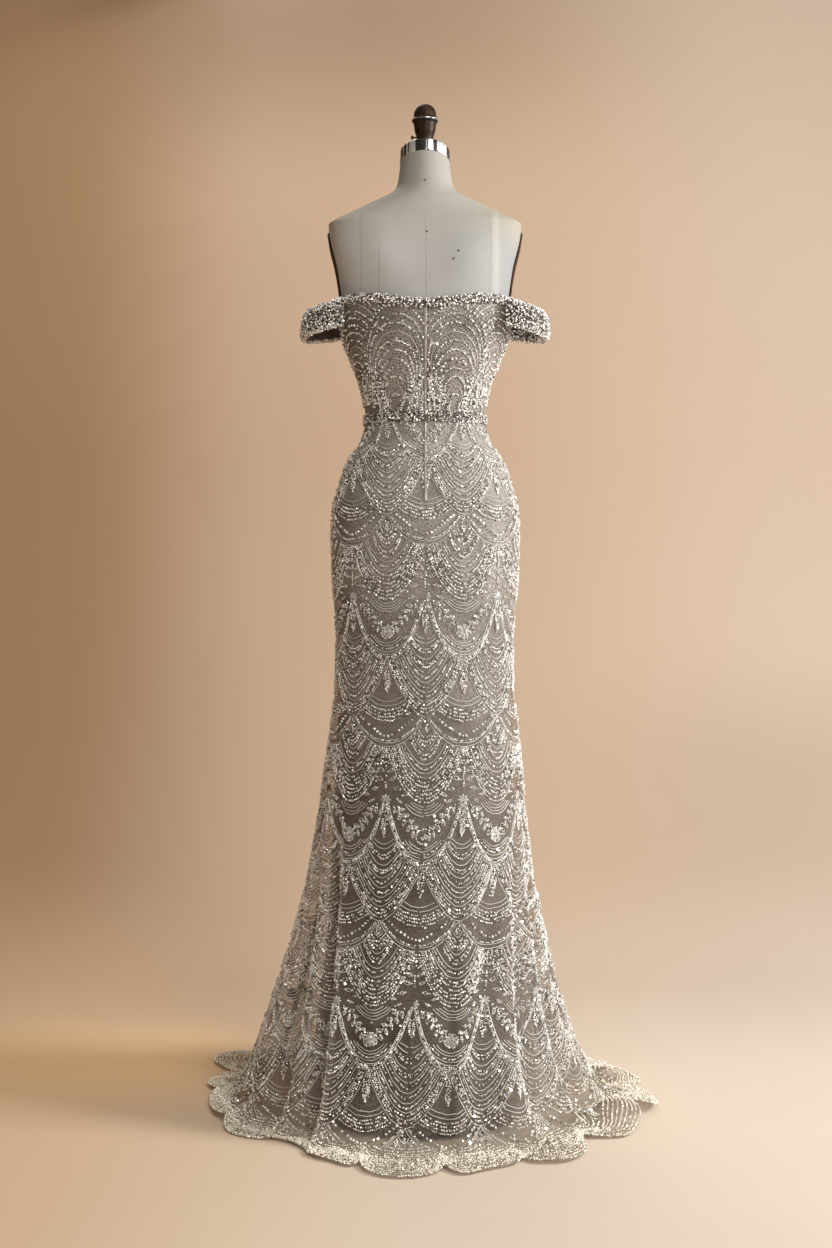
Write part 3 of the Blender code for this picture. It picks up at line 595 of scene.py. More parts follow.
@dataclass
class Graph:
    """Builds nodes in a tree with few words."""

    tree: Tree

    def node(self, kind: str, inputs: dict | None = None, **settings: object) -> Node:
        """Adds a node.

        Args:
            kind: Its type.
            inputs: A value or another node's output for a socket, by name or number.
            settings: Its properties.

        Returns:
            The node.
        """
        made = self.tree.nodes.new(kind)
        for key, value in settings.items():
            setattr(made, key, value)
        for key, value in (inputs or {}).items():
            socket = made.inputs[key]
            if isinstance(value, Socket):
                self.tree.links.new(value, socket)
            else:
                socket.default_value = value
        return made

    def maths(self, operation: str, a: object, b: object = 0.0, c: object = 0.0) -> Socket:
        """One step of arithmetic on values or outputs."""
        return self.node("ShaderNodeMath", {0: a, 1: b, 2: c}, operation=operation).outputs[0]

    def times(self, a: object, b: object) -> Socket:
        """The product of two values."""
        return self.maths("MULTIPLY", a, b)

    def scaled(self, value: object, share: object, added: object) -> Socket:
        """A value times a share, with more added."""
        return self.maths("MULTIPLY_ADD", value, share, added)

    def apart(self, value: object, middle: float) -> Socket:
        """How far a value is from a middle one, on either side."""
        return self.maths("ABSOLUTE", self.maths("SUBTRACT", value, middle))

    def span(self, value: object, start: float, end: float, kind: str = "LINEAR") -> Socket:
        """0 where a value is at the start and 1 where it is at the end."""
        inputs = {0: value, 1: start, 2: end}
        return self.node("ShaderNodeMapRange", inputs, interpolation_type=kind).outputs[0]

    def slope(self, value: object, start: float, end: float) -> Socket:
        """A span with no corner at either end."""
        return self.span(value, start, end, "SMOOTHSTEP")

    def ramp(self, factor: Socket, stops: Sequence[tuple[float, Colour]]) -> Socket:
        """A colour that runs through stops of (place, colour)."""
        made = self.node("ShaderNodeValToRGB", {0: factor})
        elements = made.color_ramp.elements
        while len(elements) < len(stops):
            elements.new(0.5)
        for element, (place, colour) in zip(elements, stops, strict=True):
            element.position = place
            element.color = (*colour, 1)
        return made.outputs[0]

    def blend(self, factor: object, a: object, b: object, kind: str = "MIX") -> Socket:
        """A mix of two colours."""
        made = self.node("ShaderNodeMix", {0: factor}, data_type="RGBA", blend_type=kind)
        for number, value in ((6, a), (7, b)):
            if isinstance(value, Socket):
                self.tree.links.new(value, made.inputs[number])
            else:
                made.inputs[number].default_value = (*value, 1)
        return made.outputs[2]


def new_group(
    name: str, kind: str, inputs: Sequence[tuple[str, str, object]], outputs: Sequence[tuple[str, str]]
) -> tuple[Tree, Node, Node, dict[str, str]]:
    """An empty group of nodes with named sockets.

    Args:
        name: Its name.
        kind: The type of its tree.
        inputs: The name, type and first value of each input.
        outputs: The name and type of each output.

    Returns:
        The group, the nodes that hold its inputs and its outputs, and each input's identifier.
    """
    group = bpy.data.node_groups.new(name, kind)
    found = {}
    for label, socket_type, value in inputs:
        socket = group.interface.new_socket(label, in_out="INPUT", socket_type=socket_type)
        if value is not None:
            socket.default_value = value
        found[label] = socket.identifier
    for label, socket_type in outputs:
        group.interface.new_socket(label, in_out="OUTPUT", socket_type=socket_type)
    return group, group.nodes.new("NodeGroupInput"), group.nodes.new("NodeGroupOutput"), found


class Effects:
    """The shader groups that several finishes share."""

    crossing: float = 1.6
    mask_range: tuple[float, float] = (0.45, 0.95)
    tone_range: tuple[float, float] = (0.3, 0.7)

    def __init__(self) -> None:
        """Builds each group once."""
        self.weave = self._weave()
        self.mottle = self._mottle()

    def _weave(self) -> Tree:
        """Threads that cross over and under: a mask and a height on the flat cloth."""
        group, start, end, _ = new_group(
            "cloth_weave",
            "ShaderNodeTree",
            (("Vector", VECTOR, None), ("Threads per metre", NUMBER, 900.0)),
            (("Mask", NUMBER), ("Height", NUMBER)),
        )
        g = Graph(group)
        scaling = {0: start.outputs[0], "Scale": start.outputs[1]}
        place = g.node("ShaderNodeVectorMath", scaling, operation="SCALE")
        parts = g.node("ShaderNodeSeparateXYZ", {0: place.outputs[0]})
        waves = []
        for number in (0, 1):
            wave = g.maths("ABSOLUTE", g.maths("SINE", g.times(parts.outputs[number], math.pi)))
            waves.append(g.maths("POWER", wave, self.crossing))
        height = g.maths("MAXIMUM", *waves)
        group.links.new(g.span(height, *self.mask_range), end.inputs[0])
        group.links.new(height, end.inputs[1])
        return group

    def _mottle(self) -> Tree:
        """Slow and quick changes of tone, such as wear, dust and handling leave; on the net the quick ones
        also make painted shadows of beads.
        """
        group, start, end, _ = new_group(
            "tone_mottle",
            "ShaderNodeTree",
            (("Vector", VECTOR, None), ("Broad scale", NUMBER, 8.0), ("Fine scale", NUMBER, 160.0)),
            (("Broad", NUMBER), ("Fine", NUMBER)),
        )
        g = Graph(group)
        for number, detail in ((1, 3.0), (2, 1.5)):
            settings = {"Vector": start.outputs[0], "Scale": start.outputs[number], "Detail": detail}
            noise = g.node("ShaderNodeTexNoise", settings)
            group.links.new(g.span(noise.outputs[0], *self.tone_range), end.inputs[number - 1])
        return group


class Base:
    """What every finish starts from: a material, its Principled shader and its coordinates."""

    def __init__(self, name: str, effects: Effects) -> None:
        """Makes the material."""
        self.effects = effects
        self.material = bpy.data.materials.new(name)
        self.material.use_nodes = True
        self.graph = Graph(self.material.node_tree)
        self.shader = self.material.node_tree.nodes["Principled BSDF"]
        places = self.graph.node("ShaderNodeTexCoord").outputs
        self.spot, self.cloth = places["Object"], places["UV"]

    def weave(self, threads_per_metre: float) -> tuple[Socket, Socket]:
        """The threads of the cloth, as their mask and their height."""
        inputs = {0: self.cloth, 1: threads_per_metre}
        made = self.graph.node("ShaderNodeGroup", inputs, node_tree=self.effects.weave)
        return made.outputs[0], made.outputs[1]

    def mottle(self, place: Socket, scales: tuple[float, float]) -> tuple[Socket, Socket]:
        """Broad and fine changes of tone, at their two scales."""
        inputs = {0: place, 1: scales[0], 2: scales[1]}
        made = self.graph.node("ShaderNodeGroup", inputs, node_tree=self.effects.mottle)
        return made.outputs[0], made.outputs[1]

    def parts(self) -> tuple[Socket, Socket, Socket]:
        """The place's x, y and z."""
        made = self.graph.node("ShaderNodeSeparateXYZ", {0: self.spot})
        return made.outputs[0], made.outputs[1], made.outputs[2]

    def plain(self, **values: object) -> None:
        """Sets plain numbers on the shader's own sockets."""
        for key, value in values.items():
            self.shader.inputs[key.replace("_", " ")].default_value = value

    def feed(self, name: str, socket: Socket) -> None:
        """Feeds one of the shader's sockets."""
        self.graph.tree.links.new(socket, self.shader.inputs[name])

    def rough(self, tone: Socket, change: float, roughness: float) -> None:
        """Makes the roughness follow a tone."""
        self.feed("Roughness", self.graph.scaled(tone, change, roughness))

    def bump(self, height: Socket, strength: float, distance: float) -> None:
        """Raises the surface by a height."""
        inputs = {"Height": height, "Strength": strength, "Distance": distance}
        self.feed("Normal", self.graph.node("ShaderNodeBump", inputs).outputs[0])


@dataclass(frozen=True)
class NetFinish:
    """Sheer net: fine thread with what lies beneath showing between, darker lower down with painted shade,
    and paler where it lies on the floor.
    """

    name: str
    thread: Colour = (0.66, 0.625, 0.585)
    shade: Colour = (0.33, 0.292, 0.252)
    # Painted shade: the net is coloured darker lower down, where the skirt hangs in shade.
    shaded_low_thread: Colour = (0.42, 0.366, 0.305)
    shaded_low_dark: Colour = (0.22, 0.178, 0.134)
    hem: Colour = (0.50, 0.44, 0.355)
    open_alpha: float = 0.12
    thread_alpha: float = 0.46
    # How strongly fine flecks darken the colour: partly the net's own grain, partly painted shadows of beads.
    grain_and_bead_shadow_share: float = 0.80
    sheer_below: float = 0.45
    threads_per_metre: float = 620.0
    tones: tuple[float, float] = (9.0, 320.0)
    lower_z: tuple[float, float] = (0.95, 0.45)
    floor_z: tuple[float, float] = (0.024, 0.005)
    grain_and_bead_shadow_stops: tuple[tuple[float, Colour], ...] = (
        (0.15, (0.26, 0.235, 0.21)), (0.55, (0.80, 0.79, 0.78)), (0.85, (1.0, 1.0, 1.0)),
    )  # fmt: skip

    def build(self, effects: Effects) -> Material:
        """Makes the material."""
        base = Base(self.name, effects)
        g = base.graph
        threads, height = base.weave(self.threads_per_metre)
        broad, fine = base.mottle(base.cloth, self.tones)
        _, _, z = base.parts()
        down, floor = g.span(z, *self.lower_z), g.span(z, *self.floor_z)
        # Painted shade: lower down the colour turns to the darker low colours.
        low = g.blend(broad, self.shaded_low_dark, self.shaded_low_thread)
        colour = g.blend(down, g.blend(broad, self.shade, self.thread), low)
        colour = g.blend(floor, colour, self.hem)
        # Multiplies in fine dark flecks: the net's grain and painted shadows of beads.
        base.feed("Base Color", g.blend(self.grain_and_bead_shadow_share, colour, g.ramp(fine, self.grain_and_bead_shadow_stops), "MULTIPLY"))
        closed = g.node("ShaderNodeMapRange", {0: threads, 3: self.open_alpha, 4: self.thread_alpha})
        sheer = g.scaled(g.maths("SUBTRACT", down, floor), -self.sheer_below, 1.0)
        base.feed("Alpha", g.times(g.scaled(fine, 0.10, closed.outputs[0]), sheer))
        base.rough(fine, -0.15, 0.62)
        base.bump(g.scaled(fine, 0.4, height), 0.5, 0.0006)
        base.plain(Specular_IOR_Level=0.35)
        return base.material


@dataclass(frozen=True)
class LiningFinish:
    """Taupe satin that lies under the net: lit where it fits closely, and deep in shade lower down, with
    paler sides that are painted light.
    """

    name: str
    light: Colour = (0.42, 0.385, 0.35)
    middle: Colour = (0.15, 0.122, 0.102)
    dark: Colour = (0.060, 0.040, 0.031)
    # Painted light: the paler colour given to the lining's sides, as if lit from the side.
    side: Colour = (0.34, 0.29, 0.24)
    dark_z: float = 0.12
    middle_z: float = 0.58
    light_z: float = 1.0
    lit_side_x: tuple[float, float] = (0.105, 0.185)
    lit_side_share: float = 0.85
    threads_per_metre: float = 1500.0
    tones: tuple[float, float] = (5.0, 60.0)

    def build(self, effects: Effects) -> Material:
        """Makes the material."""
        base = Base(self.name, effects)
        g = base.graph
        _, height = base.weave(self.threads_per_metre)
        broad, fine = base.mottle(base.cloth, self.tones)
        x, _, z = base.parts()
        stops = ((self.dark_z, self.dark), (self.middle_z, self.middle), (self.light_z, self.light))
        colour = g.ramp(g.scaled(broad, 0.10, z), stops)
        # Painted light: paler towards the sides.
        aside = g.span(g.maths("ABSOLUTE", x), *self.lit_side_x)
        base.feed("Base Color", g.blend(g.times(aside, self.lit_side_share), colour, self.side))
        base.rough(fine, 0.15, 0.36)
        base.bump(height, 0.25, 0.0003)
        base.plain(Sheen_Weight=0.2)
        return base.material


@dataclass(frozen=True)
class BeadFinish:
    """Silver-lined glass: each bead has its own tone, and some are much brighter than others; the near-white
    tones are partly painted glints and the near-black ones partly painted shade.
    """

    name: str
    # The tones run from near-black to near-white: partly the beads' own range, partly painted shade and
    # painted glints.
    dark: Colour = (0.085, 0.070, 0.055)
    middle: Colour = (0.70, 0.67, 0.62)
    light: Colour = (1.0, 0.99, 0.965)
    stops: tuple[float, float, float] = (0.08, 0.32, 0.56)
    metallic: float = 0.25
    roughness: float = 0.16
    warm: Colour = (1.0, 0.965, 0.89)
    warm_z: tuple[float, float] = (0.14, 0.01)
    # How far broad patches move the beads' tones darker or lighter.
    patch_shift: float = 0.30
    tones: tuple[float, float] = (38.0, 900.0)

    def build(self, effects: Effects) -> Material:
        """Makes the material."""
        base = Base(self.name, effects)
        g = base.graph
        own = g.node("ShaderNodeAttribute", attribute_name="tone").outputs["Fac"]
        broad, fine = base.mottle(base.spot, self.tones)
        mixed = g.scaled(g.maths("SUBTRACT", broad, 0.5), self.patch_shift, own)
        # Painted glints and painted shade: each bead's random tone picks a colour from near-black to
        # near-white.
        colours = (self.dark, self.middle, self.light)
        colour = g.ramp(mixed, tuple(zip(self.stops, colours, strict=True)))
        _, _, z = base.parts()
        base.feed("Base Color", g.blend(g.span(z, *self.warm_z), colour, self.warm, "MULTIPLY"))
        base.rough(fine, 0.20, self.roughness)
        base.plain(Metallic=self.metallic, Coat_Weight=0.5, Coat_Roughness=0.05)
        return base.material


@dataclass(frozen=True)
class ThreadFinish:
    """Lustrous embroidery thread, and the close cloth of bands and tape."""

    name: str
    colour: Colour
    shade: Colour
    tones: tuple[float, float] = (60.0, 900.0)

    def build(self, effects: Effects) -> Material:
        """Makes the material."""
        base = Base(self.name, effects)
        broad, fine = base.mottle(base.spot, self.tones)
        base.feed("Base Color", base.graph.blend(broad, self.shade, self.colour))
        base.bump(fine, 0.5, 0.0004)
        base.plain(Roughness=0.42, Metallic=0.15, Sheen_Weight=0.3)
        return base.material


@dataclass(frozen=True)
class CanvasFinish:
    """Off-white canvas over the form, with its seams and the marks of use, greyer towards the neck, browner
    towards the shoulders, painted shade on its right side and painted light on its left.
    """

    name: str
    colour: Colour = (0.440, 0.437, 0.427)
    stain: Colour = (0.345, 0.335, 0.31)
    # A darker, browner colour towards the tops of the shoulders and their outer edges.
    shoulder_tint: Colour = (0.38, 0.335, 0.24)
    # Greyer colour used for dust towards the neck and for painted shade on the right side, where the key
    # light falls strongest.
    dust_and_shade: Colour = (0.295, 0.300, 0.302)
    # Painted light: a paler colour on the left side, which lies in shade.
    light_left: Colour = (0.60, 0.60, 0.59)
    pale_seam: Colour = (0.62, 0.61, 0.575)
    dark_seam: Colour = (0.25, 0.235, 0.21)
    neck_seam: Colour = (0.34, 0.315, 0.28)
    shade_right_x: tuple[float, float] = (0.02, 0.15)
    light_left_x: tuple[float, float] = (-0.04, -0.15)
    dusty_z: tuple[float, float] = (1.585, 1.62)
    shoulder_z: tuple[float, float] = (1.49, 1.575)
    shoulder_x: tuple[float, float] = (0.06, 0.165)
    neck_seam_z: float = 1.615
    neck_seam_reach: tuple[float, float] = (0.0022, 0.0004)
    seam_core: float = 0.35
    seam_fade: float = 0.015
    wander: float = 0.002
    threads_per_metre: float = 1100.0
    tones: tuple[float, float] = (7.0, 95.0)
    # Place across, half width, strength (negative where the seam is dark) and top
    seams: tuple[tuple[float, float, float, float], ...] = (
        (-0.1215, 0.0055, 0.16, 1.57), (-0.1125, 0.0024, -0.22, 1.57), (-0.0815, 0.0022, -0.30, 1.50),
        (0.0, 0.0014, -0.30, 1.57), (0.1240, 0.0085, 0.26, 1.57), (0.1125, 0.0026, -0.22, 1.57),
    )  # fmt: skip

    def build(self, effects: Effects) -> Material:
        """Makes the material."""
        base = Base(self.name, effects)
        g = base.graph
        _, weave = base.weave(self.threads_per_metre)
        broad, fine = base.mottle(base.spot, self.tones)
        x, y, z = base.parts()
        across = g.maths("ADD", x, g.times(g.maths("SUBTRACT", broad, 0.5), self.wander))
        # Darker and browner towards the shoulders' tops and outer edges.
        edge = g.span(g.maths("ABSOLUTE", x), *self.shoulder_x)
        toward_shoulders = g.times(g.span(z, *self.shoulder_z), g.scaled(edge, 0.60, 0.45))
        colour = g.blend(g.times(broad, 0.45), self.colour, self.stain)
        # Painted shade on the right side, painted light on the left, and greyer dust towards the neck.
        for where, share, tint in (
            (g.span(x, *self.shade_right_x), 0.90, self.dust_and_shade),
            (g.span(x, *self.light_left_x), 0.90, self.light_left),
            (g.span(z, *self.dusty_z), 0.75, self.dust_and_shade),
            (toward_shoulders, 0.85, self.shoulder_tint),
        ):
            colour = g.blend(g.times(where, share), colour, tint)
        height = g.times(weave, 0.15)
        for middle, width, strength, top in self.seams:
            line = g.span(g.apart(across, middle), width, self.seam_core * width)
            line = g.times(line, g.span(z, top + self.seam_fade, top - self.seam_fade))
            tint = self.pale_seam if strength > 0 else self.dark_seam
            colour = g.blend(g.times(line, abs(strength)), colour, tint)
            height = g.scaled(line, strength, height)
        ring = g.span(g.apart(g.scaled(y, NECK_TILT, z), self.neck_seam_z), *self.neck_seam_reach)
        base.feed("Base Color", g.blend(g.times(ring, 0.35), colour, self.neck_seam))
        base.rough(fine, 0.12, 0.70)
        base.bump(g.maths("SUBTRACT", height, ring), 0.6, 0.0007)
        return base.material


@dataclass(frozen=True)
class MetalFinish:
    """Metal, enamel or cast iron, with rubbed and dull places."""

    name: str
    colour: Colour
    worn: Colour
    metallic: float
    roughness: float
    grain: float = 220.0
    relief: float = 0.0001
    shine: float = 0.5

    def build(self, effects: Effects) -> Material:
        """Makes the material."""
        base = Base(self.name, effects)
        broad, fine = base.mottle(base.spot, (30.0, self.grain))
        base.feed("Base Color", base.graph.blend(broad, self.colour, self.worn))
        base.rough(fine, 0.14, self.roughness)
        base.bump(fine, 0.3, self.relief)
        base.plain(Metallic=self.metallic, Specular_IOR_Level=self.shine)
        return base.material


@dataclass(frozen=True)
class ChromeFinish:
    """Old plated metal whose colour is streaked light and dark from top to bottom: painted reflections."""

    name: str
    reflection_light: Colour = (0.95, 0.95, 0.93)
    reflection_dark: Colour = (0.075, 0.072, 0.066)
    stretch: Place = (1.0, 1.0, 0.01)
    tones: tuple[float, float] = (130.0, 420.0)

    def build(self, effects: Effects) -> Material:
        """Makes the material."""
        base = Base(self.name, effects)
        g = base.graph
        streaks = g.node("ShaderNodeMapping", {0: base.spot, 3: self.stretch}).outputs[0]
        broad, fine = base.mottle(streaks, self.tones)
        mix = g.scaled(fine, 0.15, broad)
        # Painted reflection: light and dark vertical streaks in the metal's colour.
        base.feed("Base Color", g.ramp(mix, ((0.54, self.reflection_dark), (0.70, self.reflection_light))))
        base.rough(fine, 0.15, 0.30)
        base.plain(Metallic=1.0)
        return base.material


@dataclass(frozen=True)
class WoodFinish:
    """Dark varnished wood, turned, with its grain along the axis."""

    name: str
    light: Colour = (0.042, 0.019, 0.0075)
    dark: Colour = (0.006, 0.004, 0.003)
    stretch: Place = (260.0, 260.0, 26.0)
    tones: tuple[float, float] = (40.0, 300.0)

    def build(self, effects: Effects) -> Material:
        """Makes the material."""
        base = Base(self.name, effects)
        g = base.graph
        fibres = g.node("ShaderNodeMapping", {0: base.spot, 3: self.stretch}).outputs[0]
        grain = g.node("ShaderNodeTexNoise", {0: fibres, "Scale": 1.0, "Detail": 4.0}).outputs[0]
        broad, fine = base.mottle(base.spot, self.tones)
        mix = g.scaled(broad, 0.3, grain)
        base.feed("Base Color", g.ramp(mix, ((0.40, self.dark), (0.85, self.light))))
        base.rough(fine, 0.2, 0.40)
        base.bump(grain, 0.2, 0.0003)
        base.plain(Coat_Weight=0.06, Coat_Roughness=0.25, Specular_IOR_Level=0.15)
        return base.material


@dataclass(frozen=True)
class BackdropFinish:
    """The studio's paper sweep: a pale floor that runs up into a tan wall, seen from its front. Its colour
    holds painted shade on the left of both, at the wall's top left, low on the wall's right and on the
    floor's right, and painted light on the wall's right and in a patch on the floor to the left.
    """

    name: str
    floor: Colour = (0.68, 0.580, 0.475)
    # Painted shade: a warmer, darker floor colour on the left.
    floor_left_shade: Colour = (0.68, 0.495, 0.325)
    # Painted shade: a darker floor colour on the right, where the lamps light it most.
    floor_right_shade: Colour = (0.60, 0.520, 0.452)
    # Painted light: a warm, paler patch on the floor to the left, over the gown's cast shadow.
    floor_light_patch: Colour = (0.88, 0.610, 0.345)
    # Painted shade: the dark colour blended into the wall at its top left and low on its right.
    wall_shade: Colour = (0.10, 0.065, 0.040)
    wall: Colour = (0.580, 0.432, 0.312)
    # Painted shade: a darker wall colour on the left.
    wall_left_shade: Colour = (0.42, 0.268, 0.151)
    # Painted light: a paler wall colour on the right.
    wall_right_light: Colour = (0.61, 0.490, 0.395)
    dust: Colour = (0.45, 0.32, 0.22)
    shade_dip_z: float = 0.32
    light_patch_y: float = 0.22
    tones: tuple[float, float] = (1.3, 24.0)

    def build(self, effects: Effects) -> Material:
        """Makes the material."""
        base = Base(self.name, effects)
        g = base.graph
        broad, _ = base.mottle(base.spot, self.tones)
        x, y, z = base.parts()
        right = g.slope(x, 0.0, 1.2)
        across = g.times(g.slope(x, 1.05, -0.35), g.slope(x, -1.30, -0.60))
        # Painted shade: masks for the wall's top left and for low on its right.
        shaded = g.times(g.slope(z, 2.10, 2.75), across)
        low_right_shade = g.times(g.slope(g.apart(z, self.shade_dip_z), 0.50, 0.05), right)
        # Painted shade on the wall's left and painted light on its right.
        wall = g.blend(g.slope(x, -0.45, -1.10), self.wall, self.wall_left_shade)
        wall = g.blend(right, wall, self.wall_right_light)
        wall = g.blend(g.times(shaded, 0.55), wall, self.wall_shade)
        wall = g.blend(g.times(low_right_shade, 0.20), wall, self.wall_shade)
        # Painted light in a patch on the floor to the left; painted shade on the floor's left and right.
        light_patch = g.times(g.slope(g.apart(y, self.light_patch_y), 0.45, 0.05), g.slope(x, -0.20, -0.50))
        floor = g.blend(g.slope(x, 0.15, -0.75), self.floor, self.floor_left_shade)
        floor = g.blend(g.slope(x, 0.25, 0.9), floor, self.floor_right_shade)
        floor = g.blend(light_patch, floor, self.floor_light_patch)
        rise = g.slope(g.scaled(y, 0.22, z), -0.05, 0.62)
        base.feed("Base Color", g.blend(g.times(broad, 0.10), g.blend(rise, floor, wall), self.dust))
        base.plain(Roughness=0.9, Specular_IOR_Level=0.1)
        self._clear_behind(base)
        return base.material

    @staticmethod
    def _clear_behind(base: Base) -> None:
        """Lets the sweep be seen through from behind."""
        g = base.graph
        behind = g.node("ShaderNodeNewGeometry").outputs["Backfacing"]
        clear = g.node("ShaderNodeBsdfTransparent").outputs[0]
        mixed = g.node("ShaderNodeMixShader", {0: behind, 1: base.shader.outputs[0], 2: clear})
        out = base.material.node_tree.nodes["Material Output"]
        g.tree.links.new(mixed.outputs[0], out.inputs["Surface"])


class Wardrobe:
    """Every finish of the gown, its form and the studio, made once."""

    def __init__(self) -> None:
        """Builds the materials."""
        effects = Effects()
        self.net = NetFinish("beaded_net").build(effects)
        lined_thread, lined_shade = (0.52, 0.49, 0.46), (0.215, 0.188, 0.163)
        self.lined_net = NetFinish(
            "lined_net", lined_thread, lined_shade, open_alpha=0.90, thread_alpha=0.98, grain_and_bead_shadow_share=1.0
        ).build(effects)
        self.lining = LiningFinish("lining_satin").build(effects)
        self.silver = BeadFinish("silver_beads").build(effects)
        self.crust = BeadFinish(
            "crusted_beads", dark=(0.05, 0.046, 0.042), middle=(0.50, 0.49, 0.47),
            stops=(0.08, 0.36, 0.72), metallic=0.40, roughness=0.10,
        ).build(effects)  # fmt: skip
        self.dim_crust = BeadFinish(
            "belt_beads", dark=(0.035, 0.031, 0.028), middle=(0.34, 0.33, 0.31),
            stops=(0.14, 0.46, 0.80), metallic=0.40, roughness=0.10,
        ).build(effects)  # fmt: skip
        self.ivory = BeadFinish(
            "ivory_beads", dark=(0.34, 0.295, 0.23), middle=(0.79, 0.75, 0.67),
            light=(1.0, 0.98, 0.93), metallic=0.08,
        ).build(effects)  # fmt: skip
        # Painted highlight: the sequins are coloured near-white all over, so they look lit at any tilt.
        self.sequin = BeadFinish(
            "sequins_painted_glint", dark=(0.85, 0.84, 0.81), middle=(0.93, 0.92, 0.90), metallic=0.6, roughness=0.08
        ).build(effects)
        self.thread = ThreadFinish("ivory_thread", (0.80, 0.78, 0.73), (0.50, 0.47, 0.42)).build(effects)
        self.petal = ThreadFinish("pale_applique", (0.60, 0.59, 0.565), (0.30, 0.285, 0.265)).build(effects)
        self.band = ThreadFinish("band_cloth", (0.115, 0.085, 0.065), (0.06, 0.042, 0.032)).build(effects)
        self.zip = ThreadFinish("zip_tape", (0.40, 0.37, 0.335), (0.27, 0.24, 0.205)).build(effects)
        self.canvas = CanvasFinish("canvas").build(effects)
        self.nickel = ChromeFinish("nickel").build(effects)
        self.wood = WoodFinish("dark_wood").build(effects)
        self.enamel = MetalFinish(
            "dark_metal", (0.052, 0.028, 0.015), (0.100, 0.057, 0.031), metallic=0.0, roughness=0.65,
            shine=0.08,
        ).build(effects)  # fmt: skip
        self.steel = MetalFinish(
            "pole_steel", (0.55, 0.55, 0.56), (0.40, 0.40, 0.41), metallic=1.0, roughness=0.26
        ).build(effects)
        self.iron = MetalFinish(
            "cast_iron", (0.045, 0.045, 0.047), (0.09, 0.088, 0.085),
            metallic=0.4, roughness=0.5, grain=400.0, relief=0.0004,
        ).build(effects)  # fmt: skip
        self.floor = BackdropFinish("studio_floor").build(effects)


# ---------------------------------------------------------------- geometry node trees


class GrownTree:
    """A geometry tree that grows a piece on a guide, in a finish of its own."""

    whole_turn: float = 6.28

    def __init__(self, name: str, inputs: Sequence[tuple[str, str, object]]) -> None:
        """Makes the tree with a geometry in and out and its named inputs.

        Args:
            name: Its name.
            inputs: The name, type and first value of each input but the geometry and the finish.
        """
        every = (("Geometry", "NodeSocketGeometry", None), *inputs, ("Material", "NodeSocketMaterial", None))
        shape = (("Geometry", "NodeSocketGeometry"),)
        self.tree, start, self.end, self.sockets = new_group(name, "GeometryNodeTree", every, shape)
        self.given = start.outputs
        self.graph = Graph(self.tree)

    def random(self, kind: str) -> Node:
        """A random value for each point, from the tree's seed."""
        return self.graph.node("FunctionNodeRandomValue", {"Seed": self.given["Seed"]}, data_type=kind)

    def lines(self, length: Socket) -> Socket:
        """The guide's lines, with a point at each step of a length."""
        line = self.graph.node("GeometryNodeMeshToCurve", {0: self.given["Geometry"]}).outputs[0]
        spaced = self.graph.node("GeometryNodeResampleCurve", {0: line}, mode="LENGTH")
        self.tree.links.new(length, spaced.inputs["Length"])
        return spaced.outputs[0]

    def beads(self, points: Socket, own_size: Socket | None) -> Socket:
        """Sets a faceted bead at each point, at a random turn and with a tone of its own.

        Args:
            points: Where they go.
            own_size: Each point's own bead size, or None where the random size is the whole of it.

        Returns:
            The beads, as instances.
        """
        g = self.graph
        facets = {"Segments": self.given["Segments"], "Rings": self.given["Rings"], "Radius": 0.5}
        bead = g.node("GeometryNodeMeshUVSphere", facets).outputs["Mesh"]
        vary = self.random("FLOAT")
        self.tree.links.new(self.given["Least size"], vary.inputs[2])
        self.tree.links.new(self.given["Most size"], vary.inputs[3])
        size = vary.outputs[1] if own_size is None else g.times(own_size, vary.outputs[1])
        turn = self.random("FLOAT_VECTOR")
        turn.inputs[1].default_value = (self.whole_turn, self.whole_turn, self.whole_turn)
        placing = {"Points": points, "Instance": bead, "Rotation": turn.outputs[0], "Scale": size}
        placed = g.node("GeometryNodeInstanceOnPoints", placing).outputs[0]
        labels = {0: placed, "Name": "tone"}
        kept = g.node("GeometryNodeStoreNamedAttribute", labels, data_type="FLOAT", domain="INSTANCE")
        self.tree.links.new(self.random("FLOAT").outputs[1], kept.inputs["Value"])
        return kept.outputs[0]

    def close(self, shape: Socket) -> None:
        """Makes a shape real and gives it the finish."""
        real = self.graph.node("GeometryNodeRealizeInstances", {0: shape})
        settings = {"Geometry": real.outputs[0], "Material": self.given["Material"]}
        dressed = self.graph.node("GeometryNodeSetMaterial", settings)
        self.tree.links.new(dressed.outputs[0], self.end.inputs[0])

    def grow(self, name: str, guide: Piece, values: dict[str, object]) -> Piece:
        """Runs the tree on a guide and keeps its result as a plain mesh.

        Args:
            name: The piece's name.
            guide: The object that the tree starts from, which is removed.
            values: What inputs are set to, where they differ from their first values.

        Returns:
            The piece.
        """
        modifier = guide.modifiers.new("grow", "NODES")
        modifier.node_group = self.tree
        for label, value in values.items():
            modifier[self.sockets[label]] = value
        bpy.context.view_layer.update()
        shown = guide.evaluated_get(bpy.context.evaluated_depsgraph_get())
        mesh = bpy.data.meshes.new_from_object(shown)
        mesh.name = name
        for spare in ("bead_size", "bead_pitch"):
            if spare in mesh.attributes:
                mesh.attributes.remove(mesh.attributes[spare])
        source = guide.data
        bpy.data.objects.remove(guide)
        bpy.data.meshes.remove(source)
        return new_object(name, mesh, None)


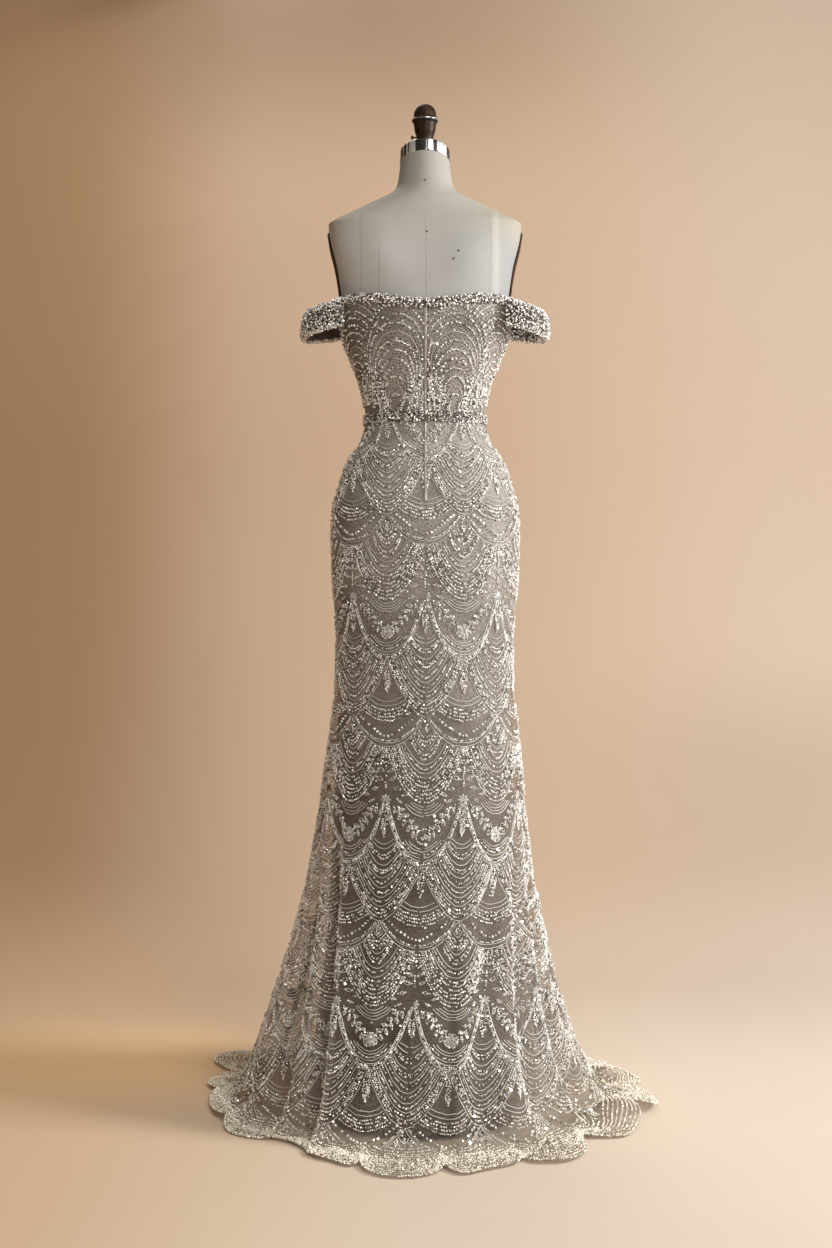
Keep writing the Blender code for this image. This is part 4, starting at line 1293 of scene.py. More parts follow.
class BeadStringer(GrownTree):
    """Strings beads along lines: each line has its own bead size and spacing."""

    def __init__(self) -> None:
        """Builds the tree."""
        inputs = (
            ("Segments", COUNT, 4), ("Rings", COUNT, 2), ("Least size", NUMBER, 0.80),
            ("Most size", NUMBER, 1.35), ("Stray", NUMBER, 0.0006), ("Seed", COUNT, 1),
        )  # fmt: skip
        super().__init__("bead_strands", inputs)
        g = self.graph
        size = g.node("GeometryNodeInputNamedAttribute", {"Name": "bead_size"}, data_type="FLOAT")
        pitch = g.node("GeometryNodeInputNamedAttribute", {"Name": "bead_pitch"}, data_type="FLOAT")
        spaced = self.lines(pitch.outputs["Attribute"])
        astray = self.random("FLOAT_VECTOR")
        astray.inputs[0].default_value = (-1.0, -1.0, -1.0)
        straying = {0: astray.outputs[0], "Scale": self.given["Stray"]}
        moved = g.node("ShaderNodeVectorMath", straying, operation="SCALE").outputs[0]
        strayed = g.node("GeometryNodeSetPosition", {0: spaced, "Offset": moved}).outputs[0]
        self.close(self.beads(strayed, size.outputs["Attribute"]))

    def string(self, name: str, lines: "Lines", material: Material, seed: int) -> Piece:
        """Makes one mesh of beads along the lines."""
        return self.grow(name, lines.guide(name), {"Seed": seed, "Material": material})


class BeadCrust(GrownTree):
    """Seats a bead on each of many places, as in a close crust of stones."""

    def __init__(self) -> None:
        """Builds the tree."""
        inputs = (
            ("Segments", COUNT, 5), ("Rings", COUNT, 3), ("Least size", NUMBER, 0.0032),
            ("Most size", NUMBER, 0.0054), ("Seed", COUNT, 1),
        )  # fmt: skip
        super().__init__("bead_crust", inputs)
        self.close(self.beads(self.given["Geometry"], None))

    def seat(
        self, name: str, places: Grid, material: Material, sizes: tuple[float, float], seed: int
    ) -> Piece:
        """Makes one mesh of beads at the places."""
        mesh = bpy.data.meshes.new(f"{name}_guide")
        mesh.from_pydata([tuple(p) for p in places], [], [])
        values = {"Least size": sizes[0], "Most size": sizes[1], "Seed": seed, "Material": material}
        return self.grow(name, new_object(f"{name}_guide", mesh, None), values)


class ThreadLayer(GrownTree):
    """Lays thin thread along lines, as three-sided strands."""

    def __init__(self) -> None:
        """Builds the tree."""
        super().__init__("laid_threads", (("Step", NUMBER, 0.006), ("Thickness", NUMBER, 0.0017)))
        g = self.graph
        spaced = self.lines(self.given["Step"])
        radius = g.times(self.given["Thickness"], 0.5)
        profile = g.node("GeometryNodeCurvePrimitiveCircle", {"Resolution": 3, "Radius": radius})
        sweeping = {"Curve": spaced, "Profile Curve": profile.outputs[0], "Fill Caps": True}
        self.close(g.node("GeometryNodeCurveToMesh", sweeping).outputs[0])

    def lay(self, name: str, lines: "Lines", material: Material) -> Piece:
        """Makes one mesh of thread along the lines."""
        return self.grow(name, lines.guide(name), {"Material": material})


def close_grid(width: float, length: float, pitch: float, seed: int) -> Grid:
    """Places in staggered rows over a flat strip, each moved a little out of line.

    Args:
        width, length: The strip's sizes.
        pitch: How far apart the places lie.
        seed: For their moves.

    Returns:
        The places, measured from the middle of one end.
    """
    draw = np.random.default_rng(seed)
    rows = max(2, round(width / (pitch * CRUST_ROW_STEP)) + 1)
    levels, far = np.linspace(-width / 2, width / 2, rows), np.arange(int(length / pitch)) * pitch
    across, along = np.meshgrid(levels, far, indexing="ij")
    along = along + pitch / 2 * (np.arange(rows) % 2)[:, None]
    flat = np.stack([across, along], -1).reshape(-1, 2)
    return flat + draw.uniform(-CRUST_MOVE, CRUST_MOVE, flat.shape) * pitch


# ---------------------------------------------------------------- lines on the cloth


@dataclass
class Lines:
    """Lines in space, each with its own bead size and spacing."""

    runs: list[tuple[Grid, float, float]] = field(default_factory=list)

    def add(self, points: Grid, size: float, pitch: float) -> None:
        """Adds one line of at least two points."""
        if len(points) > 1:
            self.runs.append((points, size, pitch))

    def guide(self, name: str) -> Piece:
        """An object whose mesh is the lines, as edges, with the size and pitch on its points."""
        counts = [len(points) for points, _, _ in self.runs]
        points = np.vstack([points for points, _, _ in self.runs])
        edges, start = [], 0
        for count in counts:
            at = np.arange(start, start + count - 1)
            edges.append(np.stack([at, at + 1], -1))
            start += count
        mesh = bpy.data.meshes.new(f"{name}_guide")
        mesh.from_pydata([tuple(p) for p in points], [tuple(map(int, e)) for e in np.vstack(edges)], [])
        for label, column in (("bead_size", 1), ("bead_pitch", 2)):
            values = np.repeat([run[column] for run in self.runs], counts).astype(np.float32)
            mesh.attributes.new(label, "FLOAT", "POINT").data.foreach_set("value", values)
        return new_object(f"{name}_guide", mesh, None)


@dataclass
class ClothMap:
    """Carries points from the flat cloth onto a surface, by the real length of each of its rings."""

    surface: Surface
    centre: float
    keys: Grid
    downward: bool
    step: float = 0.004
    columns: int = 541

    def __post_init__(self) -> None:
        """Tables the angle that each place across the cloth has, for each key."""
        angles = np.radians(self.centre + np.linspace(-90, 90, self.columns))
        grid = self.surface(angles[None, :], self.keys[:, None])
        across = across_cloth(grid)
        across -= across[:, [len(angles) // 2]]
        self.half = float(max(across[:, -1].max(), -across[:, 0].min()))
        count = int(self.half / self.step) + 2
        self.flat = np.arange(-count, count + 1) * self.step
        beyond = {"left": np.nan, "right": np.nan}
        self.table = np.array([np.interp(self.flat, row, angles, **beyond) for row in across])

    def angle_at(self, across: Grid, key: Grid) -> Grid:
        """The angle round the figure of places on the cloth, or nan beyond its seams."""
        row = np.clip((key - self.keys[0]) / (self.keys[1] - self.keys[0]), 0, len(self.keys) - 1.001)
        column = np.clip((across - self.flat[0]) / self.step, 0, len(self.flat) - 1.001)
        r, c = row.astype(int), column.astype(int)
        a, b = row - r, column - c
        t = self.table
        upper = t[r, c] * (1 - b) + t[r, c + 1] * b
        lower = t[r + 1, c] * (1 - b) + t[r + 1, c + 1] * b
        return upper * (1 - a) + lower * a

    def place(self, across: Grid, key: Grid, lift: Grid | float) -> tuple[Grid, Grid, Grid]:
        """Carries places onto the surface.

        Args:
            across: How far each is from the middle of the panel.
            key: Its height, or its length down the cloth.
            lift: How far it is raised from the surface.

        Returns:
            The points, their normals and their angles.
        """
        angle = self.angle_at(across, key)
        there = np.where(np.isnan(angle), 0.0, angle)
        normal = normals_of(self.surface, there, key, self.downward)
        points = self.surface(there, key) + normal * np.asarray(lift)[..., None]
        return points, normal, angle


class Stitch(Enum):
    """What a line of the lace is worked in: bead size, and spacing as a share of it."""

    FINE = (0.0030, 1.10)
    EVEN = (0.0036, 1.10)
    BOLD = (0.0045, 1.18)
    SPARSE = (0.0047, 1.52)
    THREAD = (0.0, 0.0)


@dataclass
class Strand:
    """A line of the lace on the flat cloth."""

    points: Grid
    stitch: Stitch


def leaf_shape(half: float, half_width: float) -> tuple[Grid, Grid]:
    """The outline of a leaf: how far its points lie along it from its foot, and aside."""
    turn = np.linspace(-np.pi, np.pi, LEAF_POINTS)
    return half * (1 + np.cos(turn)), half_width * np.sin(turn)


LEAF_POINTS = 9
# Share aside, and shares down at which each string of a tassel starts and ends
TASSEL = ((0.0, 0.0, 1.0), (-1.0, 0.2, 0.85), (1.0, 0.2, 0.85), (-0.5, 0.35, 0.95), (0.5, 0.35, 0.95))
# Half width, level of the ends, level of the middle, stitch
FESTOONS = (
    (0.0410, -0.0420, -0.0150, Stitch.THREAD), (0.0355, -0.0430, -0.0200, Stitch.FINE),
    (0.0300, -0.0440, -0.0250, Stitch.THREAD), (0.0240, -0.0430, -0.0300, Stitch.THREAD),
    (0.0330, -0.1040, -0.0840, Stitch.THREAD), (0.0285, -0.1050, -0.0890, Stitch.THREAD),
    (0.0235, -0.1060, -0.0940, Stitch.THREAD), (0.0180, -0.1070, -0.0990, Stitch.THREAD),
)  # fmt: skip
# Lines inside a fan: level of the ends, level of the middle, power of the curve, stitch
TASSEL_INSIDE = (
    (-0.046, -0.037, 2.0, Stitch.THREAD), (-0.041, -0.029, 2.0, Stitch.THREAD),
    (-0.036, -0.019, 2.0, Stitch.FINE), (-0.033, -0.013, 2.0, Stitch.EVEN),
    (-0.027, -0.002, 1.9, Stitch.THREAD), (-0.023, 0.007, 1.8, Stitch.FINE),
    (-0.020, 0.012, 1.8, Stitch.EVEN), (-0.017, 0.021, 1.7, Stitch.THREAD),
    (-0.014, 0.030, 1.6, Stitch.FINE),
)  # fmt: skip
OPEN_INSIDE = (
    (0.0620, 0.0715, 2.0, Stitch.THREAD), (0.0685, 0.0790, 2.0, Stitch.THREAD),
    (0.0735, 0.0865, 1.9, Stitch.FINE), (0.0780, 0.0925, 1.9, Stitch.EVEN),
    (0.0820, 0.0985, 1.8, Stitch.EVEN), (0.0860, 0.1045, 1.8, Stitch.FINE),
    (0.0930, 0.1310, 1.35, Stitch.SPARSE),
)  # fmt: skip
CLOSE_INSIDE = (
    (0.114, 0.125, 2.0, Stitch.THREAD), (0.119, 0.133, 2.0, Stitch.FINE), (0.123, 0.141, 1.9, Stitch.EVEN),
    (0.126, 0.147, 1.9, Stitch.BOLD), (0.129, 0.155, 1.8, Stitch.THREAD), (0.132, 0.163, 1.8, Stitch.FINE),
    (0.134, 0.171, 1.8, Stitch.EVEN),
)  # fmt: skip
# Lines round them, which end on the row above: half width, level of the middle, stitch
TASSEL_OUTSIDE = (
    (0.0395, 0.0385, Stitch.THREAD), (0.0430, 0.0470, Stitch.FINE), (0.0465, 0.0555, Stitch.THREAD),
    (0.0500, 0.0635, Stitch.FINE), (0.0535, 0.0710, Stitch.THREAD), (0.0570, 0.0775, Stitch.EVEN),
    (0.0605, 0.0835, Stitch.FINE), (0.0638, 0.0900, Stitch.EVEN),
)  # fmt: skip
CLOSE_OUTSIDE = (
    (0.0350, 0.1790, Stitch.THREAD), (0.0385, 0.1870, Stitch.FINE), (0.0420, 0.1950, Stitch.THREAD),
    (0.0455, 0.2025, Stitch.EVEN), (0.0490, 0.2095, Stitch.FINE), (0.0525, 0.2165, Stitch.EVEN),
    (0.0560, 0.2235, Stitch.FINE), (0.0595, 0.2300, Stitch.EVEN), (0.0632, 0.2365, Stitch.FINE),
)  # fmt: skip
# Bodice tassels: place across, top and bottom
BODICE_TASSELS = ((0.026, 1.408, 1.378), (0.017, 1.408, 1.388), (0.098, 1.262, 1.226))


@dataclass(frozen=True)
class FanLace:
    """The lace: hanging fans in columns, each row half a column aside from the one above.

    A repeat holds a wide swag with a flower, then a tasselled fan, a smaller open fan and a close
    fan of many lines. Levels are lengths down the cloth from the point of the swag.
    """

    column: float = 0.134
    repeat: float = 0.350
    swag_top: float = -0.105
    tassel_fan_end: float = 0.0965
    open_fan_end: float = 0.149
    close_fan_end: float = 0.2435
    swag_power: float = 2.30
    tassel_power: float = 1.75
    open_power: float = 2.25
    close_power: float = 2.05
    point_step: float = 0.0032
    clear: float = 0.003
    flower: float = -0.0500
    petal_plumpness: float = 0.52
    string_points: int = 9
    leaves: int = 9
    leaf_half: float = 0.0060
    leaf_half_width: float = 0.0030
    leaf_turn: float = 1.0
    leaf_start: float = 0.016
    leaf_end: float = 0.014
    leaf_top: float = 0.004
    leaf_drop: float = 0.044
    leaf_rib: tuple[float, float] = (0.002, 0.010)
    sprig_plumpness: float = 0.26
    stem_start: float = 0.014
    stem_end: float = 0.010
    stem_drop: float = 0.046
    stem_power: float = 1.1
    curl: float = 0.0032
    curls: int = 4

    @property
    def half(self) -> float:
        """Half the width of a column."""
        return self.column / 2

    def _arc(self, half_width: float, ends: float, middle: float, power: float, stitch: Stitch) -> Strand:
        """A line that hangs between two points at one level."""
        count = max(9, int(half_width / self.point_step) * 2 + 1)
        across = np.linspace(-1, 1, count)
        down = ends + (middle - ends) * (1 - np.abs(across) ** power)
        return Strand(np.stack([across * half_width, down], -1), stitch)

    def _inside(self, rows: Sequence[tuple], top: float, bottom: float, power: float) -> list[Strand]:
        """Lines inside a fan.

        Args:
            rows: The fan's table of them.
            top, bottom, power: The outline of the row above, by its ends, its middle and its power.

        Returns:
            The lines, each as wide as the room between two neighbours of the row above.
        """
        found = []
        for ends, middle, own_power, stitch in rows:
            share = np.clip((ends - top) / (bottom - top), 0, 1)
            room = self.half * (1 - (1 - share) ** (1 / power)) - self.clear
            found.append(self._arc(room, ends, middle, own_power, stitch))
        return found

    def _outside(
        self, rows: Sequence[tuple], top: float, bottom: float, powers: tuple[float, float]
    ) -> list[Strand]:
        """Lines round a fan.

        Args:
            rows: The fan's table of them.
            top, bottom: The ends and the middle of the outline of the row above.
            powers: That outline's power and the fan's own.

        Returns:
            The lines, with their ends on the row above.
        """
        found = []
        for room, middle, stitch in rows:
            level = top + (bottom - top) * (1 - max(1 - room / self.half, 0.0) ** powers[0]) + self.clear
            found.append(self._arc(room, level, middle, powers[1], stitch))
        return found

    def _drop(self, top: float, bottom: float, spread: float) -> list[Strand]:
        """A tassel of bead strings that hangs from a junction."""
        found = []
        for side, start, end in TASSEL:
            share = np.linspace(start, end, self.string_points)
            across = side * spread * np.sin(np.pi * np.clip(share, 0, 1)) ** 0.8
            down = top + (bottom - top) * share
            found.append(Strand(np.stack([across, down], -1), Stitch.FINE))
        return found

    def _edge(
        self, top: float, bottom: float, power: float, insets: Sequence[tuple[float, Stitch]]
    ) -> list[Strand]:
        """The lines that run side by side along the outline of a fan."""
        found = []
        for inset, stitch in insets:
            width = self.half - 0.75 * inset
            found.append(self._arc(width, top + 0.3 * inset, bottom - 1.1 * inset, power, stitch))
        return found

    def swag(self) -> list[Strand]:
        """The wide swag's lines, its flower stems and the outlines of the leaves on them."""
        top = self.swag_top
        insets = ((0.0, Stitch.THREAD), (0.0028, Stitch.FINE), (0.0056, Stitch.EVEN), (0.0088, Stitch.THREAD))
        found = self._edge(top, 0.0, self.swag_power, insets)
        for side in (-1, 1):
            share = np.linspace(0, 1, 30)
            across = side * (self.half - self.stem_start) * (1 - share) + side * self.stem_end * share
            down = top + 0.002 + self.stem_drop * share**self.stem_power
            curl = self.curl * np.sin(share * 2 * self.curls * np.pi)
            found.append(Strand(np.stack([across + 0.6 * side * curl, down + curl], -1), Stitch.FINE))
            for i in range(self.leaves):
                found += self._leaf(side, (i + 0.5) / self.leaves, -1 if i % 2 else 1)
        for radius, count in ((0.0042, 9), (0.0118, 21)):
            turn = np.linspace(0, 2 * np.pi, count)
            ring = np.stack([radius * np.cos(turn), self.flower + radius * np.sin(turn)], -1)
            found.append(Strand(ring, Stitch.FINE))
        return found + [self._arc(room, ends, middle, 2.0, stitch) for room, ends, middle, stitch in FESTOONS]

    def _leaf(self, side: int, share: float, above: int) -> list[Strand]:
        """A leaf of the swag, outlined in thread, with beads along its rib."""
        across = side * ((self.half - self.leaf_start) * (1 - share) + self.leaf_end * share)
        foot = np.array([across, self.swag_top + self.leaf_top + self.leaf_drop * share])
        way = math.atan2(1.0, -side) - side * above * self.leaf_turn
        along, aside = leaf_shape(self.leaf_half, self.leaf_half_width)
        cos, sin = math.cos(way), math.sin(way)
        loop = np.stack([along * cos - aside * sin, along * sin + aside * cos], -1) + foot
        rib = foot + np.array([[reach * cos, reach * sin] for reach in self.leaf_rib])
        return [Strand(loop, Stitch.THREAD), Strand(rib, Stitch.FINE)]

    def tassel_fan(self) -> list[Strand]:
        """The fan that fills the room below a junction of two swags."""
        outline = (self.half, self.tassel_fan_end, Stitch.THREAD)
        powers = (self.swag_power, self.tassel_power)
        return [
            *self._drop(self.swag_top + 0.012, self.flower, 0.0050),
            *self._inside(TASSEL_INSIDE, self.swag_top, 0.0, self.swag_power),
            *self._outside((*TASSEL_OUTSIDE, outline), self.swag_top, 0.0, powers),
        ]

    def open_fan(self) -> list[Strand]:
        """The smaller fan under a swag's point, with bare net between its lines."""
        insets = ((0.0, Stitch.THREAD), (0.0060, Stitch.THREAD), (0.0095, Stitch.FINE))
        return [
            *self._drop(0.008, 0.056, 0.0052),
            *self._inside(OPEN_INSIDE, 0.0, self.tassel_fan_end, self.tassel_power),
            *self._edge(self.tassel_fan_end, self.open_fan_end, self.open_power, insets),
            *self._sprigs(),
        ]

    def _sprigs(self) -> list[Strand]:
        """The stem below the open fan and the leaves on it, down to the crown of the next repeat."""
        top, bottom = self.open_fan_end + 0.006, self.repeat + self.swag_top - 0.024
        found = [Strand(np.stack([np.zeros(12), np.linspace(top, bottom, 12)], -1), Stitch.EVEN)]
        for side in (-1, 1):
            for down, aside, way, length in (
                (top + 0.022, 0.003, 0.55, 0.0100),
                (top + 0.036, 0.004, 0.50, 0.0120),
                (top + 0.050, 0.006, 0.40, 0.0130),
                (bottom - 0.002, 0.014, -0.20, 0.0120),
                (bottom + 0.010, 0.030, 0.30, 0.0110),
                (bottom + 0.017, 0.020, -0.50, 0.0100),
            ):
                along, across = leaf_shape(length / 2, self.sprig_plumpness * length)
                cos, sin = math.cos(way), math.sin(way)
                x = side * (aside + along * cos - across * sin)
                loop = np.stack([x, down - along * sin - across * cos], -1)
                found.append(Strand(loop, Stitch.THREAD))
                tip = np.array([[side * aside, down], [side * (aside + length * cos), down - length * sin]])
                found.append(Strand(tip, Stitch.FINE))
        return found

    def close_fan(self) -> list[Strand]:
        """The fan of many lines that ends a repeat."""
        start, end = self.tassel_fan_end, self.open_fan_end
        outline = (self.half, self.close_fan_end, Stitch.EVEN)
        powers = (self.open_power, self.close_power)
        return [
            *self._drop(0.101, 0.124, 0.003)[:3],
            *self._inside(CLOSE_INSIDE, start, end, self.open_power),
            *self._outside((*CLOSE_OUTSIDE, outline), start, end, powers),
        ]

    def petals(self) -> Grid:
        """Each petal of the swag's flower and crown: its foot, the way it points, its size."""
        found = []
        for ring, count, length in ((0, 8, 0.0125), (1, 6, 0.0075)):
            for i in range(count):
                turn = 2 * math.pi * (i + 0.5 * ring) / count
                found.append((0.0, self.flower, turn, length, self.petal_plumpness * length))
        head = self.swag_top - 0.010
        for i in range(7):
            turn = math.pi * (0.5 + 1.5 * (i / 6 - 0.5))
            found.append((self.half, head + 0.004, -turn, 0.0100, 0.0042))
        return np.array(found)

    def cell(self) -> list[Strand]:
        """The lines of one repeat of one column, its fans at the side moved half a column."""
        found = self.swag() + self.open_fan()
        for strand in self.tassel_fan() + self.close_fan():
            found.append(Strand(strand.points + np.array([self.half, 0.0]), strand.stitch))
        return found

    def spread(self, half_across: float, first: float, last: float) -> list[tuple[float, float]]:
        """Where each cell of a panel goes.

        Args:
            half_across: Half the panel's greatest width.
            first, last: The levels between which it lies, from the swag on its middle line.

        Returns:
            The place across and the level of each cell's swag.
        """
        rows = range(math.floor(first / self.repeat) - 1, math.ceil(last / self.repeat) + 1)
        count = int(half_across / self.half) + 2
        columns = range(-count, count + 1)
        return [(j * self.half, n * self.repeat) for n in rows for j in columns if (j + n) % 2 == 0]


@dataclass(frozen=True)
class RisingFans:
    """The lace of the bodice: two pairs of nested fans that open upwards, on either side of a panel.

    Lines are placed by how far they are from the panel's middle line and by their height.
    """

    main: float = 0.053
    side: float = 0.138
    foot: float = 1.217
    main_top: float = 1.398
    main_width: float = 0.0580
    side_foot: float = 1.232
    tallness: float = 1.25
    waisted: float = 0.42
    middle_gap: float = 0.003
    outline_gap: float = 0.002
    # How many lines, half width and top of the first, and how much each adds to them
    main_lines: tuple[int, float, float, float, float] = (19, 0.009, 1.246, 0.0049, 0.0152)
    side_lines: tuple[int, float, float, float, float] = (15, 0.008, 1.272, 0.0050, 0.0120)
    last_whole: int = 10
    points_per_metre: int = 700
    side_step: float = 0.005
    tassel_spread: float = 0.0022

    def _rise(self, width: float, top: float, foot: float) -> Grid:
        """A line that rises from one foot, round over the top and down to the other."""
        turn = np.linspace(0.0, np.pi, max(13, int(width * self.points_per_metre)))
        spring = max(foot, top - self.tallness * width)
        over = np.stack([width * np.cos(turn), spring + (top - spring) * np.sin(turn)], -1)
        share = np.linspace(0.0, 1.0, max(3, int((spring - foot) / self.side_step)))[:, None]
        narrow = width * (1 - self.waisted * ease(share))
        right = np.hstack([narrow, spring + (foot - spring) * share])
        left = right * np.array([-1.0, 1.0])
        return np.vstack([right[::-1][:-1], over, left[1:]])

    def _main_half(self, z: Grid) -> Grid:
        """Half the width of a main fan's outline at a height."""
        spring = self.main_top - self.tallness * self.main_width
        over = np.sqrt(np.clip(1 - (np.maximum(z - spring, 0) / (self.main_top - spring)) ** 2, 0, 1))
        under = 1 - self.waisted * ease((spring - z) / (spring - self.foot))
        return self.main_width * np.where(z > spring, over, under)

    def cell(self) -> list[Strand]:
        """Every line of the fans."""
        order = (Stitch.FINE, Stitch.THREAD, Stitch.EVEN, Stitch.FINE, Stitch.SPARSE, Stitch.EVEN)
        found = []
        for sign in (-1, 1):
            count, width, top, wider, higher = self.main_lines
            for number in range(count):
                line = self._rise(width + number * wider, top + number * higher, self.foot)
                inner = (line[:, 0] * sign < 0) | (number <= self.last_whole)
                line = line + np.array([sign * self.main, 0.0])
                good = inner & (line[:, 0] * sign > self.middle_gap)
                found += [Strand(run, order[number % len(order)]) for run in stretches(line, good)]
            count, width, top, wider, higher = self.side_lines
            for number in range(count):
                line = self._rise(width + number * wider, top + number * higher, self.side_foot)
                line = line + np.array([sign * self.side, 0.0])
                beyond = self._main_half(line[:, 1]) + self.outline_gap
                good = (np.abs(line[:, 0] - sign * self.main) > beyond) & (line[:, 0] * sign > self.main)
                found += [Strand(run, order[(number + 2) % len(order)]) for run in stretches(line, good)]
            for across, top, bottom in BODICE_TASSELS:
                for aside in (-self.tassel_spread, 0.0, self.tassel_spread):
                    drop = np.array([[sign * across + aside * 0.4, top], [sign * across + aside, bottom]])
                    found.append(Strand(drop, Stitch.FINE))
        return found

    def petals(self) -> Grid:
        """The bodice has no flowers."""
        return np.zeros((0, 5))

    def spread(self, half_across: float, first: float, last: float) -> list[tuple[float, float]]:
        """The one place of the fans, whatever the panel's size."""
        return [(0.0, 0.0)]


@dataclass
class LacePanel:
    """The lace worked on one panel: beads, thread, applique and sequins."""

    name: str
    chart: ClothMap
    lace: FanLace | RisingFans
    keep: Callable[[Grid, Grid, Grid], Grid]
    start: float
    seed: int = 1
    sequins: int = 120
    closer: float = 1.0
    waver: float = 0.0005
    thread_lift: float = 0.0004
    petal_lift: tuple[float, float] = (0.0002, 0.0016)
    sequin_lift: float = 0.0018
    sequin_tilt: float = 0.22

    def _flat(self, points: Grid, across: float, level: float) -> tuple[Grid, Grid]:
        """A cell's points as places on the panel, its levels closer together below the start."""
        down = points[..., 1] + level
        return points[..., 0] + across, self.start + np.where(down > 0, self.closer * down, down)

    def _cells(self) -> list[tuple[float, float]]:
        """The cells that may reach the panel."""
        first, last = self.chart.keys[0] - self.start, (self.chart.keys[-1] - self.start) / self.closer
        return self.lace.spread(self.chart.half, first, last)

    def work(self) -> tuple[Lines, Lines]:
        """Carries the lace's lines onto the panel.

        Returns:
            The lines of beads and the lines of thread.
        """
        draw = np.random.default_rng(self.seed)
        beads, threads = Lines(), Lines()
        cell = self.lace.cell()
        counts = [len(strand.points) for strand in cell]
        points = np.vstack([strand.points for strand in cell])
        ends = np.cumsum(counts)[:-1]
        for across, level in self._cells():
            wave = draw.normal(0, self.waver, (len(points), 2))
            x, key = self._flat(points + wave, across, level)
            if key.max() < self.chart.keys[0] or key.min() > self.chart.keys[-1]:
                continue
            if np.abs(x).min() > self.chart.half:
                continue
            inside = (key >= self.chart.keys[0]) & (key <= self.chart.keys[-1])
            lift = np.repeat([0.5 * strand.stitch.value[0] or self.thread_lift for strand in cell], counts)
            placed, _, angle = self.chart.place(x, key, lift)
            good = inside & ~np.isnan(angle) & self.keep(angle, key, x)
            for strand, line, fine in zip(cell, np.split(placed, ends), np.split(good, ends), strict=True):
                size, spacing = strand.stitch.value
                target = threads if strand.stitch is Stitch.THREAD else beads
                for run in stretches(line, fine):
                    target.add(run, size, size * spacing)
        return beads, threads

    def applique(self) -> Grid | None:
        """The petals and leaves as raised facets.

        Returns:
            For each petal its rim points and then its crest, or None where there are none.
        """
        petals = self.lace.petals()
        if len(petals) == 0:
            return None
        turn = np.linspace(0, 2 * np.pi, 8, endpoint=False)
        shape = np.stack([0.5 - 0.5 * np.cos(turn), 0.5 * np.sin(turn) * (1 - 0.25 * np.cos(turn))], -1)
        shape = np.vstack([shape, [[0.55, 0.0]]])
        along, aside = petals[:, 3, None] * shape[:, 0], petals[:, 4, None] * shape[:, 1]
        cos, sin = np.cos(petals[:, 2, None]), np.sin(petals[:, 2, None])
        x = petals[:, 0, None] + along * cos - aside * sin
        down = petals[:, 1, None] + along * sin + aside * cos
        flat = np.stack([x, down], -1)
        rim, crest = self.petal_lift
        lift = np.broadcast_to(np.array([rim] * len(turn) + [crest]), flat.shape[:2])
        found = []
        for across, level in self._cells():
            x, key = self._flat(flat, across, level)
            key_in = np.clip(key, self.chart.keys[0], self.chart.keys[-1])
            placed, _, angle = self.chart.place(x, key_in, lift)
            whole = ((key == key_in) & ~np.isnan(angle) & self.keep(angle, key, x)).all(axis=1)
            if whole.any():
                found.append(placed[whole])
        return np.vstack(found) if found else None

    def scattered(self) -> tuple[Grid, Grid]:
        """Places and tilted normals of loose sequins."""
        draw = np.random.default_rng(self.seed + 40)
        count = self.sequins * 3
        x = draw.uniform(-self.chart.half, self.chart.half, count)
        key = draw.uniform(self.chart.keys[0], self.chart.keys[-1], count)
        placed, normal, angle = self.chart.place(x, key, np.full(count, self.sequin_lift))
        good = ~np.isnan(angle) & self.keep(angle, key, x)
        tilt = normal + draw.normal(0, self.sequin_tilt, normal.shape)
        tilt /= np.linalg.norm(tilt, axis=1, keepdims=True)
        return placed[good][: self.sequins], tilt[good][: self.sequins]


def petal_object(name: str, petals: Grid, material: Material) -> Piece:
    """One mesh of raised petals, each a fan of facets from its rim to its crest."""
    count = petals.shape[1]
    rim = count - 1
    faces = []
    for i in range(len(petals)):
        for k in range(rim):
            faces.append((i * count + k, i * count + (k + 1) % rim, i * count + rim))
    mesh = bpy.data.meshes.new(name)
    mesh.from_pydata([tuple(p) for p in petals.reshape(-1, 3)], [], faces)
    mesh.update()
    return new_object(name, mesh, material)


def sequin_object(name: str, places: Grid, normals: Grid, radius: float, material: Material) -> Piece:
    """One mesh of flat six-sided sequins."""
    aside = np.cross(normals, np.array([0.3, 0.2, 0.9]))
    aside /= np.linalg.norm(aside, axis=1, keepdims=True)
    up = np.cross(normals, aside)
    turn = np.linspace(0, 2 * np.pi, 6, endpoint=False)
    rims = places[:, None] + radius * (
        np.cos(turn)[None, :, None] * aside[:, None] + np.sin(turn)[None, :, None] * up[:, None]
    )
    faces = [tuple(range(i * 6, i * 6 + 6)) for i in range(len(places))]
    mesh = bpy.data.meshes.new(name)
    mesh.from_pydata([tuple(p) for p in rims.reshape(-1, 3)], [], faces)
    mesh.update()
    return new_object(name, mesh, material)


# ---------------------------------------------------------------- the gown


@dataclass
class Tools:
    """The finishes and node trees that the pieces are made with."""

    finishes: Wardrobe = field(default_factory=Wardrobe)
    beads: BeadStringer = field(default_factory=BeadStringer)
    crust: BeadCrust = field(default_factory=BeadCrust)
    threads: ThreadLayer = field(default_factory=ThreadLayer)


def dress(piece: Piece, slot: str, *nodes: str) -> Piece:
    """Puts a piece on the part's body, for the nodes that it stands for.

    Args:
        piece: The piece.
        slot: Not used.
        nodes: The solids that it replaces.

    Returns:
        The piece.
    """
    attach(piece, BODY)
    if nodes:
        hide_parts(*nodes)
    LOG.info("%s: %d faces", piece.name, len(piece.data.polygons))
    return piece


